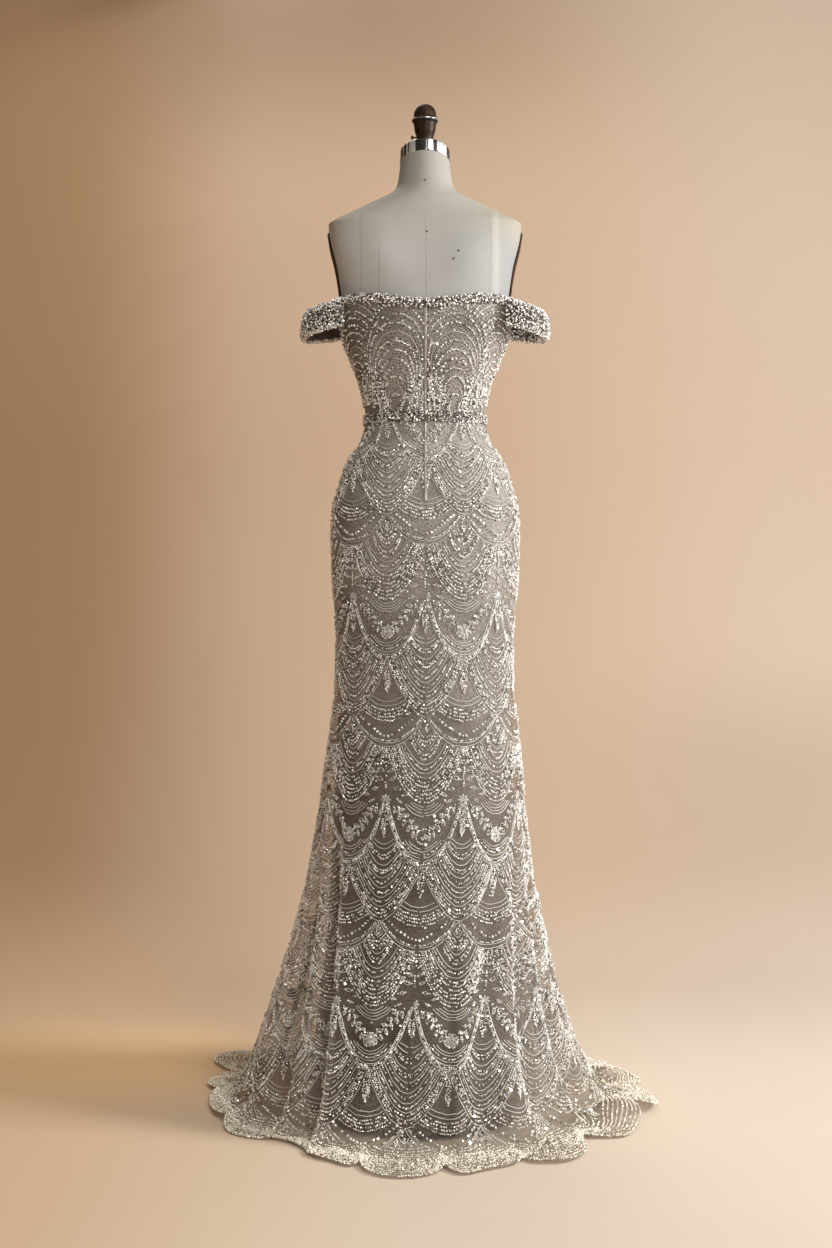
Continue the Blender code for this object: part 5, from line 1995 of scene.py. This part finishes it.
def work_lace(tools: Tools, panel: LacePanel, split: bool = False) -> list[Piece]:
    """Makes the pieces of a panel's lace.

    Args:
        tools: What they are made with.
        panel: The panel with its lace.
        split: Whether its beads are two pieces, one for each side.

    Returns:
        The beads, thread, petals where it has them, and sequins.
    """
    finishes = tools.finishes
    beads, threads = panel.work()
    groups = {"": beads}
    if split:
        groups = {"_left": Lines(), "_right": Lines()}
        for run in beads.runs:
            groups["_left" if run[0][:, 0].mean() < 0 else "_right"].runs.append(run)
    made = [
        tools.beads.string(f"{panel.name}_beads{suffix}", lines, finishes.silver, panel.seed)
        for suffix, lines in groups.items()
    ]
    made.append(tools.threads.lay(f"{panel.name}_thread", threads, finishes.thread))
    petals = panel.applique()
    if petals is not None:
        made.append(petal_object(f"{panel.name}_applique", petals, finishes.petal))
    places, normals = panel.scattered()
    made.append(sequin_object(f"{panel.name}_sequins", places, normals, SEQUIN, finishes.sequin))
    return [dress(piece, "beaded_net") for piece in made]


@dataclass
class Skirt:
    """The net skirt in its three panels, with the lace on each and the beaded border at the hem."""

    tools: Tools
    lace: FanLace
    columns_per_degree: float = 0.7
    row_step: float = 0.013
    floor_rows: int = 18
    hanging_end_z: float = 0.04
    least_z: float = 0.0002
    least_cloth: float = 0.6
    chart_step: float = 0.008
    lace_start_z: float = 0.429
    lace_closer: float = 0.915
    sequins: int = 280
    zip_clear: float = 0.0025
    border: float = 0.033
    border_rows: int = 9
    border_edge: float = 0.0012
    border_sizes: tuple[float, ...] = (0.0037, 0.0027, 0.0034, 0.0028)
    border_out: tuple[float, float] = (0.0008, 0.0012)
    bead_z: float = 0.0016
    floor_arcs: int = 9
    floor_arc_step: float = 0.0065
    floor_arc_sizes: tuple[float, ...] = (0.0034, 0.0027, 0.0027)
    floor_arc_start: float = 0.0050
    floor_arc_out: float = 0.0012
    floor_lift: float = 0.012
    border_clear: float = 0.002
    seam_clear: float = 0.05
    points_per_degree: int = 5
    border_pitch: float = 1.06
    floor_arc_pitch: float = 1.15
    first_seed: int = 11
    border_seed: int = 71

    def panel_grid(self, first: float, last: float) -> tuple[Grid, Grid, Grid]:
        """Points of a panel's outside and inside, and their places on the flat cloth."""
        count = int((last - first) * self.columns_per_degree) + 1
        angle = np.radians(np.linspace(first, last, count))
        start = length_at(SKIRT_TABLE, self.hanging_end_z)
        hanging = np.linspace(SEAM_GAP / 2, start, int(start / self.row_step))
        hem = hem_length(angle)
        shares = np.linspace(0, 1, self.floor_rows + 1)[1:]
        length = np.vstack([np.repeat(hanging[:, None], count, 1), start + (hem - start) * shares[:, None]])
        angles = np.repeat(angle[None, :], len(length), 0)
        outer = skirt_point(angles, length)
        inner = outer - CLOTH * normals_of(skirt_point, angles, length, True)
        inner[..., 2] += np.maximum(0.0, self.least_z - inner[..., 2])
        outer[..., 2] = np.maximum(outer[..., 2], inner[..., 2] + CLOTH * self.least_cloth)
        return outer, inner, np.stack([across_cloth(outer), -length], -1)

    def build(self) -> None:
        """Makes the panels and dresses them."""
        keys = np.arange(0.0, SKIRT_LENGTH + self.chart_step, self.chart_step)
        back = ClothMap(skirt_point, 0.0, keys, True)
        front = ClothMap(skirt_point, 180.0, keys, True)
        zip_end = length_at(SKIRT_TABLE, ZIP_END_Z)

        def above_hem(angle: Grid, key: Grid) -> Grid:
            """Whether places are above the border of the hem."""
            lifted = skirt_point(angle, key)[..., 2] > self.floor_lift
            return (key < hem_length(angle) - self.border - self.border_clear) & lifted

        def clear_of_zip(key: Grid, x: Grid) -> Grid:
            """Whether places are clear of the zip's ridge."""
            return (key > zip_end) | (np.abs(x) > self.zip_clear)

        def on_left(angle: Grid, key: Grid, x: Grid) -> Grid:
            """Whether places are on the back's left half and clear of its edges."""
            return above_hem(angle, key) & (x < 0) & clear_of_zip(key, x)

        def on_right(angle: Grid, key: Grid, x: Grid) -> Grid:
            """Whether places are on the back's right half and clear of its edges."""
            return above_hem(angle, key) & (x >= 0) & clear_of_zip(key, x)

        sides = {
            "skirt_back_left": (back, -90, 0, on_left),
            "skirt_back_right": (back, 0, 90, on_right),
            "skirt_front": (front, 90, 270, lambda angle, key, _: above_hem(angle, key)),
        }
        start = length_at(SKIRT_TABLE, self.lace_start_z)
        for number, (node, (chart, first, last, keep)) in enumerate(sides.items()):
            outer, inner, uv = self.panel_grid(first, last)
            shell = new_object(f"{node}_net", shell_mesh(node, outer, inner, uv), self.tools.finishes.net)
            dress(shell, "beaded_net", node)
            seed = self.first_seed + number
            panel = LacePanel(node, chart, self.lace, keep, start, seed, self.sequins, self.lace_closer)
            extras = work_lace(self.tools, panel, split=node == "skirt_front")
            extras.append(self._border(node, first, last))
            area = round(cloth_area(outer), 4)

    def _border(self, node: str, first: float, last: float) -> Piece:
        """The close rows of ivory beads along a panel's scallops."""
        draw = np.random.default_rng(self.border_seed)
        lines = Lines()
        count = int((last - first) * self.points_per_degree)
        angle = np.radians(np.linspace(first + self.seam_clear, last - self.seam_clear, count))
        hem = hem_length(angle)
        for row in range(self.border_rows):
            span = self.border - 2 * self.border_edge
            length = hem - (self.border_edge + span * row / (self.border_rows - 1))
            size = self.border_sizes[row % len(self.border_sizes)]
            out = self.border_out[0] + draw.uniform(0, self.border_out[1], len(angle))
            points = skirt_point(angle, length) + normals_of(skirt_point, angle, length, True) * out[:, None]
            points[:, 2] = np.maximum(points[:, 2], self.bead_z)
            lines.add(points, size, size * self.border_pitch)
        for row in range(self.floor_arcs):
            length = hem - self.border - self.floor_arc_start - self.floor_arc_step * row
            size = self.floor_arc_sizes[row % len(self.floor_arc_sizes)]
            points = skirt_point(angle, length)
            lies = points[:, 2] < self.floor_lift
            points = points + normals_of(skirt_point, angle, length, True) * self.floor_arc_out
            for run in stretches(points, lies):
                lines.add(run, size, size * self.floor_arc_pitch)
        piece = self.tools.beads.string(f"{node}_border", lines, self.tools.finishes.ivory, 5)
        return dress(piece, "beaded_net")


@dataclass
class Lining:
    """The plain lining, in a back and a front."""

    tools: Tools
    columns: int = 61
    rows: int = 44
    first_length: float = 0.002

    def build(self) -> None:
        """Makes both halves."""
        for node, first, last in (("lining_back", -90, 90), ("lining_front", 90, 270)):
            angle = np.radians(np.linspace(first, last, self.columns))
            length = np.linspace(self.first_length, LINING_LENGTH, self.rows)
            angles, lengths = np.meshgrid(angle, length)
            outer = lining_point(angles, lengths)
            inner = outer - CLOTH * normals_of(lining_point, angles, lengths, True)
            across = across_cloth(outer)
            uv = np.stack([across, -lengths], -1)
            mesh = shell_mesh(node, outer, inner, uv)
            piece = dress(new_object(f"{node}_cloth", mesh, self.tools.finishes.lining), "lining_satin", node)


@dataclass
class Bodice:
    """The bodice in three panels, with the lace turned upwards on it, and the zip."""

    tools: Tools
    lace: RisingFans
    columns_per_degree: float = 0.8
    rows: int = 30
    chart_top_z: float = 1.440
    chart_step: float = 0.006
    sequins: int = 70
    lace_start: float = 0.010
    trim_room: float = 0.008
    zip_clear: float = 0.002
    zip_half: float = 0.0016
    zip_inner: float = 0.0041
    zip_radius: float = 0.09
    zip_rows: int = 90
    zip_aside: tuple[float, ...] = (-1.0, -0.55, 0.0, 0.55, 1.0)
    zip_swell: tuple[float, ...] = (0.0043, 0.0050, 0.0056, 0.0050, 0.0043)
    below_waist: float = 0.004
    first_seed: int = 31

    def panel_grid(self, first: float, last: float) -> tuple[Grid, Grid, Grid]:
        """Points of a panel's outside and inside, and their places on the flat cloth."""
        count = int((last - first) * self.columns_per_degree) + 1
        angle = np.radians(np.linspace(first, last, count))
        share = np.linspace(0, 1, self.rows)[:, None]
        low = WAIST_Z + SEAM_GAP / 2
        z = low + (neckline_z(angle) - low) * share
        angles = np.repeat(angle[None, :], len(share), 0)
        normal = normals_of(figure_point, angles, z, False)
        surface = figure_point(angles, z)
        outer, inner = surface + BODICE_OUT * normal, surface + (BODICE_OUT - CLOTH) * normal
        return outer, inner, np.stack([across_cloth(outer), z], -1)

    def build(self) -> None:
        """Makes the panels, their lace and the zip."""
        keys = np.arange(WAIST_Z - self.below_waist, self.chart_top_z, self.chart_step)

        def surface(angle: Grid, z: Grid) -> Grid:
            """The outside of the bodice."""
            angle, z = np.broadcast_arrays(np.asarray(angle, float), np.asarray(z, float))
            return figure_point(angle, z) + BODICE_OUT * normals_of(figure_point, angle, z, False)

        back, front = ClothMap(surface, 0.0, keys, False), ClothMap(surface, 180.0, keys, False)

        def on_panel(angle: Grid, z: Grid) -> Grid:
            """Whether places lie between the belt and the neckline's trim."""
            return (z > WAIST_Z + self.lace_start) & (z < neckline_z(angle) - self.trim_room)

        sides = {
            "bodice_back_left": (back, -90, 0, lambda a, z, x: on_panel(a, z) & (x < -self.zip_clear)),
            "bodice_back_right": (back, 0, 90, lambda a, z, x: on_panel(a, z) & (x > self.zip_clear)),
            "bodice_front": (front, 90, 270, lambda a, z, x: on_panel(a, z)),
        }
        for number, (node, (chart, first, last, keep)) in enumerate(sides.items()):
            outer, inner, uv = self.panel_grid(first, last)
            shell = new_object(
                f"{node}_net", shell_mesh(node, outer, inner, uv), self.tools.finishes.lined_net
            )
            dress(shell, "beaded_net", node)
            seed = self.first_seed + number
            panel = LacePanel(node, chart, self.lace, keep, 0.0, seed, sequins=self.sequins)
            extras = work_lace(self.tools, panel)
            if node == "bodice_back_left":
                extras.append(self._zip())
            flat = (round(float(uv[..., 0].max()), 3), round(float(np.ptp(uv[..., 1])), 3))
            area, under = round(cloth_area(outer), 4), ["form_torso_canvas"]

    def _zip(self) -> Piece:
        """The narrow ridge of the hidden zip down the centre back."""
        z = np.linspace(ZIP_END_Z, float(neckline_z(np.array(0.0))) - self.zip_clear, self.zip_rows)
        aside, swell = np.array(self.zip_aside), np.array(self.zip_swell)
        angle = aside[None, :] * self.zip_half / FIGURE_TABLE.at(z)[0][:, None]
        height = np.repeat(z[:, None], len(aside), 1)
        normal = normals_of(figure_point, angle, height, False)
        base = figure_point(angle, height)
        uv = np.stack([angle * self.zip_radius, height], -1)
        outer, inner = base + normal * swell[None, :, None], base + normal * self.zip_inner
        piece = new_object("back_zip_tape", shell_mesh("back_zip", outer, inner, uv), self.tools.finishes.zip)
        return dress(piece, "zip_tape", "back_zip")


@dataclass
class CrustedBand:
    """A band that follows the figure under a close crust of beads and stones."""

    tools: Tools
    name: str
    height: float
    inner: float
    outer: float
    middle: Callable[[Grid], Grid]
    pitch: float
    sizes: tuple[float, float]
    ragged: float
    seed: int
    stones: Material
    seam_clear: float = 0.25
    columns: int = 200
    levels: tuple[float, ...] = (-0.5, -0.42, -0.3, 0.0, 0.3, 0.42, 0.5)
    swells: tuple[float, ...] = (0.20, 0.45, 0.62, 0.68, 0.62, 0.45, 0.20)
    girth: float = 1.2

    def build(self) -> None:
        """Makes the band and its beads."""
        angle = np.radians(np.linspace(self.seam_clear, 360 - self.seam_clear, self.columns))
        shares, swell = np.array(self.levels), np.array(self.swells)
        z = self.middle(angle)[None, :] + self.height * shares[:, None]
        angles = np.repeat(angle[None, :], len(shares), 0)
        normal = normals_of(figure_point, angles, z, False)
        base = figure_point(angles, z)
        out = self.inner + (self.outer - self.inner) * swell
        uv = np.stack([angles * CLOTH_RADIUS, z], -1)
        mesh = shell_mesh(self.name, base + normal * out[:, None, None], base + normal * self.inner, uv)
        band = dress(new_object(f"{self.name}_band", mesh, self.tools.finishes.band), "bead_trim", self.name)
        around = across_cloth(base)[len(shares) // 2]
        long = float(around[-1])
        flat = close_grid(self.height, long, self.pitch, self.seed)
        draw = np.random.default_rng(self.seed + 1)
        turn = np.interp(flat[:, 1], around, angle)
        level = self.middle(turn) + flat[:, 0]
        lift = self.inner + (self.outer - self.inner) * np.interp(flat[:, 0] / self.height, shares, swell)
        lift = lift + draw.uniform(0.0, self.ragged, len(flat))
        places = figure_point(turn, level) + normals_of(figure_point, turn, level, False) * lift[:, None]
        beads = self.tools.crust.seat(f"{self.name}_beads", places, self.stones, self.sizes, self.seed)
        dress(beads, "bead_trim")


@dataclass
class SleeveBand:
    """A beaded band that stands out round the upper arm."""

    tools: Tools
    side: int
    width: float = 0.042
    end_width: float = 0.044
    thickness: float = 0.0090
    end_thickness: float = 0.0050
    reach: float = 0.2160
    root: float = 0.140
    half_depth: float = 0.066
    root_z: float = 1.3930
    end_z: float = 1.375
    front_drop: float = 0.002
    root_angle: float = math.radians(62)
    pitch: float = 0.0033
    crust_wrap: float = 114.0
    crust_share: float = 1.6
    ragged: float = 0.0046
    end_out: float = 0.0123
    reach_power: float = 0.8
    lean: float = 0.10
    stops: int = 14
    rings: int = 57
    columns: int = 20
    bead_sizes: tuple[float, float] = (0.0024, 0.0046)
    core_sunk: float = 0.0008
    bead_sunk: float = 0.0002
    end_room: float = 0.004
    seeds: tuple[int, int, int] = (51, 61, 71)

    def section(self, turn: float, around: Grid, grow: float) -> Grid:
        """One ring of the band.

        Args:
            turn: Where it is, from the back (minus a quarter turn) to the front.
            around: Angles round the ring.
            grow: How far it is raised from the band's own surface.

        Returns:
            Its points.
        """
        side = self.side
        if abs(turn) >= math.pi / 2 - 1e-6:
            end = 1 if turn > 0 else -1
            angle = side * (math.pi / 2 + end * (math.pi / 2 - self.root_angle))
            z = self.root_z - self.front_drop * (end > 0) + (self.end_width / 2 + grow) * np.sin(around)
            spread = side * end * (self.end_thickness / 2 + grow) * np.cos(around) / CLOTH_RADIUS
            normal = normals_of(figure_point, angle + spread, z, False)
            return figure_point(angle + spread, z) + normal * self.end_out
        reach = math.cos(turn) ** self.reach_power
        x = side * (self.root + (self.reach - self.root) * reach)
        z = self.root_z + (self.end_z - self.root_z) * reach
        z -= self.front_drop * float(ease((turn + 0.4) / 1.4))
        centre = np.array([x, self.half_depth * math.sin(turn), z])
        out_way = Vector((side * math.cos(turn), math.sin(turn) * 0.9, 0)).normalized()
        up_way = (Vector((0, 0, 1)) - out_way * self.lean).normalized()
        swell = float(ease(math.cos(turn) / 0.6))
        width = self.end_width + (self.width - self.end_width) * swell
        thick = self.end_thickness + (self.thickness - self.end_thickness) * swell
        out = np.cos(around)[:, None] * (thick / 2 + grow) * np.array(out_way)
        up = np.sin(around)[:, None] * (width / 2 + grow) * np.array(up_way)
        return centre + out + up

    def build(self) -> None:
        """Makes the band and its crust of beads."""
        name = "left" if self.side < 0 else "right"
        around = round_turn(self.columns)
        stops = [-math.pi / 2 + math.pi * k / self.stops for k in range(self.stops + 1)]
        coarse = np.array([self.section(turn, around, -self.core_sunk) for turn in stops])
        share = np.linspace(0, self.stops, self.rings)
        low = np.minimum(share.astype(int), self.stops - 1)
        mix = (share - low)[:, None, None]
        rings = coarse[low] * (1 - mix) + coarse[low + 1] * mix
        core = new_object(f"sleeve_{name}_band", tube_mesh(f"sleeve_{name}", rings), self.tools.finishes.band)
        dress(core, "bead_trim", f"sleeve_{name}")
        along = across_cloth(rings.mean(1)[None])[0]
        wrap = math.radians(self.crust_wrap)
        covered = self.width * self.crust_share
        place_seed, lift_seed, bead_seed = (seed + self.side for seed in self.seeds)
        flat = close_grid(covered, float(along[-1]) - self.end_room, self.pitch, place_seed)
        draw = np.random.default_rng(lift_seed)
        places = []
        for across, far in flat:
            stop = float(np.interp(far + self.end_room / 2, along, share))
            turn = stop / self.stops * math.pi - math.pi / 2
            turn = min(max(turn, -math.pi / 2 + 1e-4), math.pi / 2 - 1e-4)
            at = np.array([across / (covered / 2) * wrap])
            places.append(self.section(turn, at, float(draw.uniform(-self.bead_sunk, self.ragged)))[0])
        stones, spots = self.tools.finishes.crust, np.array(places)
        beads = self.tools.crust.seat(f"sleeve_{name}_beads", spots, stones, self.bead_sizes, bead_seed)
        dress(beads, "bead_trim")


# ---------------------------------------------------------------- the dress form


@dataclass
class DressForm:
    """The canvas form with its neck cap, knob and armhole plates, on a pole and a round foot."""

    tools: Tools
    cap_radius: float = 0.0450
    cap_height: float = 0.0225
    plate_z: float = 1.4860
    plate_height: float = 0.062
    plate_angle: float = math.radians(16)
    plate_forward: float = math.radians(6)
    plate_out: float = 0.0014
    plate_dome: float = 0.0026
    ease_ends_z: float = 1.420
    ease_fade: float = 0.040
    canvas_radius: float = 0.15
    pin_radius: float = 0.0020
    pins: tuple[tuple[float, float], ...] = (
        (0.0035, 1.5270), (0.0490, 1.4780), (0.0580, 1.4920), (0.0, 1.6240),
    )  # fmt: skip
    pin_lift: float = 0.0004
    pin_reach: float = 1.2
    pin_steps: int = 400
    columns: int = 96
    turned_columns: int = 40
    knob_lift: float = 0.0044
    knob_height: float = 0.0788
    knob_levels: int = 60
    screw_height: float = 0.0180
    screw_back: float = 0.004
    torso_levels: tuple[tuple[float, float, int], ...] = (
        (FORM_BOTTOM_Z, 1.38, 24), (1.385, 1.540, 28), (1.543, 1.573, 16), (1.577, NECK_TOP_Z, 22),
    )  # fmt: skip

    def build(self) -> None:
        """Makes each piece and finishes the pole and the foot."""
        self._torso()
        self._cap()
        self._knob()
        for side, name in ((-1, "left"), (1, "right")):
            self._plate(side, name)
        finishes = self.tools.finishes
        for node, finish in (("form_pole", finishes.steel), ("form_base", finishes.iron)):
            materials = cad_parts[node].data.materials
            materials.clear()
            materials.append(finish)

    def _torso(self) -> None:
        """The padded torso under its canvas."""
        angle = round_turn(self.columns)
        z = np.concatenate([np.linspace(low, high, count) for low, high, count in self.torso_levels])
        angles, heights = np.meshgrid(angle, z)
        easing = FORM_EASE * (1 - ease((heights - self.ease_ends_z) / self.ease_fade))[..., None]
        rings = figure_point(angles, heights) - normals_of(figure_point, angles, heights, False) * easing
        uv = np.stack([angles * self.canvas_radius, heights], -1)
        mesh = tube_mesh("form_torso", rings, uv)
        piece = new_object("form_torso_canvas", mesh, self.tools.finishes.canvas)
        dress(piece, "canvas", "form_torso")
        self._pin_holes()

    def _pin_holes(self) -> None:
        """Small dark discs where pins have left holes in the canvas: the painted shade inside the holes."""
        places, normals = [], []
        turn = np.linspace(-self.pin_reach, self.pin_reach, self.pin_steps)
        for x, height in self.pins:
            found = figure_point(turn, np.full(len(turn), height))
            best = int(np.abs(found[:, 0] - x).argmin())
            normal = normals_of(figure_point, turn[best : best + 1], np.array([height]), False)[0]
            places.append(found[best] + normal * self.pin_lift)
            normals.append(normal)
        at, facing, dark = np.array(places), np.array(normals), self.tools.finishes.enamel
        dress(sequin_object("form_pin_hole_shade", at, facing, self.pin_radius, dark), "canvas")

    def _cap(self) -> None:
        """The plated cap on the neck, its top sloping with the neck round a level seat."""
        low = NECK_TOP_Z + SEAM_GAP
        high = self.cap_height
        angle = round_turn(self.columns)
        rings = []
        for share, height, tilt in (
            (0.985, 0.0, 1.0), (1.0, 0.0006, 1.0), (1.0, 0.0030, 1.0), (0.984, 0.0036, 1.0),
            (0.984, 0.84 * high, 1.0), (0.975, 0.92 * high, 1.0), (0.94, 0.985 * high, 1.0),
            (0.87, high, 1.0), (0.40, high + 0.0038, 0.15), (0.355, high + 0.0040, 0.0),
        ):  # fmt: skip
            radius = self.cap_radius * share
            x, y = radius * np.sin(angle), -radius * np.cos(angle)
            rings.append(np.stack([x, y, low + height - NECK_TILT * tilt * y], -1))
        mesh = tube_mesh("cap", np.array(rings))
        piece = new_object("form_neck_cap_plated", mesh, self.tools.finishes.nickel)
        dress(piece, "nickel", "form_neck_cap")

    def _knob(self) -> None:
        """The turned knob on the cap, with its thin ring and the small screw that holds it."""
        foot = NECK_TOP_Z + SEAM_GAP + self.cap_height + self.knob_lift
        table = SmoothTable(
            (
                (0.0000, 0.0140), (0.0150, 0.0145), (0.0300, 0.0185), (0.0430, 0.0205), (0.0455, 0.0210),
                (0.0470, 0.0232), (0.0510, 0.0235), (0.0528, 0.0212), (0.0540, 0.0205), (0.0620, 0.0200),
                (0.0710, 0.0168), (0.0765, 0.0105), (self.knob_height, 0.0030),
            )
        )  # fmt: skip
        finishes, columns = self.tools.finishes, self.turned_columns
        heights = np.linspace(0, self.knob_height, self.knob_levels)
        profile = [(float(table.at(h)[0]), foot + float(h)) for h in heights]
        knob = tube_mesh("finial", turned_rings(profile, columns))
        dress(new_object("form_finial_turned", knob, finishes.wood), "dark_wood", "form_finial")
        ring = ((0.0226, 0.0486), (0.0240, 0.0492), (0.0240, 0.0506), (0.0226, 0.0512))
        collar = tube_mesh("ring", turned_rings([(radius, foot + up) for radius, up in ring], columns))
        dress(new_object("form_finial_ring", collar, finishes.steel), "dark_wood")
        turn, screw = round_turn(12), []
        for radius, x in (
            (0.0014, -0.0140), (0.0014, -0.0205), (0.0034, -0.0210), (0.0036, -0.0240), (0.0022, -0.0252)
        ):  # fmt: skip
            y = radius * np.sin(turn) - self.screw_back
            z = foot + self.screw_height + radius * np.cos(turn)
            screw.append(np.stack([np.full(len(turn), x), y, z], -1))
        body = tube_mesh("screw", np.array(screw))
        dress(new_object("form_finial_screw", body, finishes.enamel), "dark_wood")

    def _plate(self, side: int, name: str) -> None:
        """The dark oval plate that closes an armhole."""
        turn = round_turn(48)
        shares = (1.0, 0.995, 0.97, 0.94, 0.80, 0.60, 0.40, 0.20, 0.06)
        domes = (0.0, 0.55, 0.90, 0.70, 0.85, 0.95, 1.0, 1.0, 1.0)
        rings = []
        inside, outside = [(share, 0.0) for share in reversed(shares)], zip(shares, domes, strict=True)
        for share, dome in (*inside, *outside):
            angle = side * (math.pi / 2 + self.plate_forward) + self.plate_angle * share * np.sin(turn)
            z = self.plate_z + self.plate_height * share * np.cos(turn)
            out = self.plate_out + self.plate_dome * dome
            rings.append(figure_point(angle, z) + normals_of(figure_point, angle, z, False) * out)
        mesh = tube_mesh("plate", np.array(rings))
        piece = new_object(f"form_armplate_{name}_plate", mesh, self.tools.finishes.enamel)
        dress(piece, "dark_metal", f"form_armplate_{name}")


# ---------------------------------------------------------------- the studio


@dataclass(frozen=True)
class Lamp:
    """A soft area light: where it stands, what it faces, its size, power and tint."""

    name: str
    place: Place
    target: Place
    size: float
    power: float
    tint: Colour

    def build(self) -> None:
        """Adds the light."""
        data = bpy.data.lights.new(self.name, "AREA")
        data.shape = "DISK"
        data.size, data.energy, data.color = self.size, self.power, self.tint
        light = bpy.data.objects.new(self.name, data)
        light.location = self.place
        way = Vector(self.target) - Vector(self.place)
        light.rotation_euler = way.to_track_quat("-Z", "Y").to_euler()
        bpy.context.scene.collection.objects.link(light)


@dataclass(frozen=True)
class Studio:
    """The camera, the lights, the pale sweep of floor and wall, and the air round them."""

    camera_place: Place = (-0.0162, -3.2, 0.84)
    film_height: float = 36.0
    image_height: float = 1248.0
    focal_pixels: float = 1776.0
    air: Colour = (0.95, 0.88, 0.80)
    air_strength: float = 0.19
    half_width: float = 9.0
    sweep_steps: int = 24
    sweep_start: float = 0.95
    sweep_radius: float = 1.35
    wall_top: float = 5.5

    def camera(self) -> None:
        """Adds the camera, level and square to the gown's back."""
        data = bpy.data.cameras.new("camera")
        data.sensor_fit = "VERTICAL"
        data.sensor_height = self.film_height
        data.lens = self.film_height * self.focal_pixels / self.image_height
        camera = bpy.data.objects.new("camera", data)
        camera.location = self.camera_place
        camera.rotation_euler = (math.radians(90), 0, 0)
        bpy.context.scene.collection.objects.link(camera)
        bpy.context.scene.camera = camera

    def _sweep(self, finish: Material) -> None:
        """Adds the floor and the wall that it curves up into."""
        start, radius = self.sweep_start, self.sweep_radius
        profile = [(-self.half_width, 0.0), (start, 0.0)]
        for step in range(1, self.sweep_steps + 1):
            turn = math.pi / 2 * step / self.sweep_steps
            profile.append((start + radius * math.sin(turn), radius * (1 - math.cos(turn))))
        profile.append((start + radius, self.wall_top))
        corners = [(x, y, z) for y, z in profile for x in (-self.half_width, self.half_width)]
        faces = [(2 * i, 2 * i + 1, 2 * i + 3, 2 * i + 2) for i in range(len(profile) - 1)]
        mesh = bpy.data.meshes.new("sweep")
        mesh.from_pydata(corners, [], faces)
        mesh.shade_smooth()
        new_object("studio_sweep", mesh, finish)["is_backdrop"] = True

    def build(self, finishes: Wardrobe) -> None:
        """Adds the floor, the lights and the world."""
        self._sweep(finishes.floor)
        for lamp in (
            Lamp("key", (2.7, -0.6, 1.75), (0.0, 0.0, 0.80), 1.1, 94.0, (1.0, 0.99, 0.97)),
            Lamp("soft", (1.6, -3.5, 2.4), (0.0, 0.0, 0.85), 1.8, 67.0, (1.0, 0.985, 0.96)),
            Lamp("fill", (-2.6, -2.8, 1.5), (0.0, 0.0, 0.7), 2.2, 6.8, (1.0, 0.76, 0.50)),
            Lamp("top", (0.3, -0.8, 3.6), (0.0, 0.0, 0.9), 1.6, 12.0, (1.0, 0.97, 0.93)),
            Lamp("front", (-0.6, 1.7, 3.3), (0.0, 0.0, 1.0), 1.4, 19.0, (1.0, 0.97, 0.93)),
            Lamp("wall", (2.6, -0.6, 2.4), (1.0, 2.3, 1.0), 1.0, 19.0, (1.0, 0.96, 0.91)),
        ):
            lamp.build()
        world = bpy.data.worlds.new("studio_air")
        world.use_nodes = True
        background = world.node_tree.nodes["Background"]
        background.inputs[0].default_value = (*self.air, 1)
        background.inputs[1].default_value = self.air_strength
        scene = bpy.context.scene
        scene.world = world
        scene.view_settings.view_transform = "Standard"
        scene.view_settings.exposure = 0.0


def main() -> None:
    """Builds the studio, the form and the gown."""
    logging.basicConfig(level=logging.INFO, format="%(name)s: %(message)s")
    studio = Studio()
    studio.camera()
    tools = Tools()
    lace = FanLace()
    DressForm(tools).build()
    Bodice(tools, RisingFans()).build()
    CrustedBand(
        tools, "neckline_trim", height=0.014, inner=0.0058, outer=0.0118,
        middle=lambda angle: neckline_z(angle) - 0.004, pitch=0.0036, sizes=(0.0026, 0.0046),
        ragged=0.0022, seed=41, stones=tools.finishes.crust,
    ).build()  # fmt: skip
    CrustedBand(
        tools, "waist_belt", height=0.016, inner=0.0058, outer=0.0070,
        middle=lambda angle: WAIST_Z + 0 * angle, pitch=0.0031, sizes=(0.0020, 0.0034),
        ragged=0.0006, seed=43, stones=tools.finishes.dim_crust,
    ).build()  # fmt: skip
    SleeveBand(tools, side=-1).build()
    SleeveBand(tools, side=1, crust_wrap=165.0, crust_share=2.2).build()
    Skirt(tools, lace).build()
    Lining(tools).build()
    studio.build(tools.finishes)
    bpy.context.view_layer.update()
    total = sum(
        sum(len(p.vertices) - 2 for p in piece.data.polygons)
        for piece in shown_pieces()
        if piece.type == "MESH"
    )
    LOG.info("all pieces: %d triangles", total)


if __name__ == "__main__":
    main()
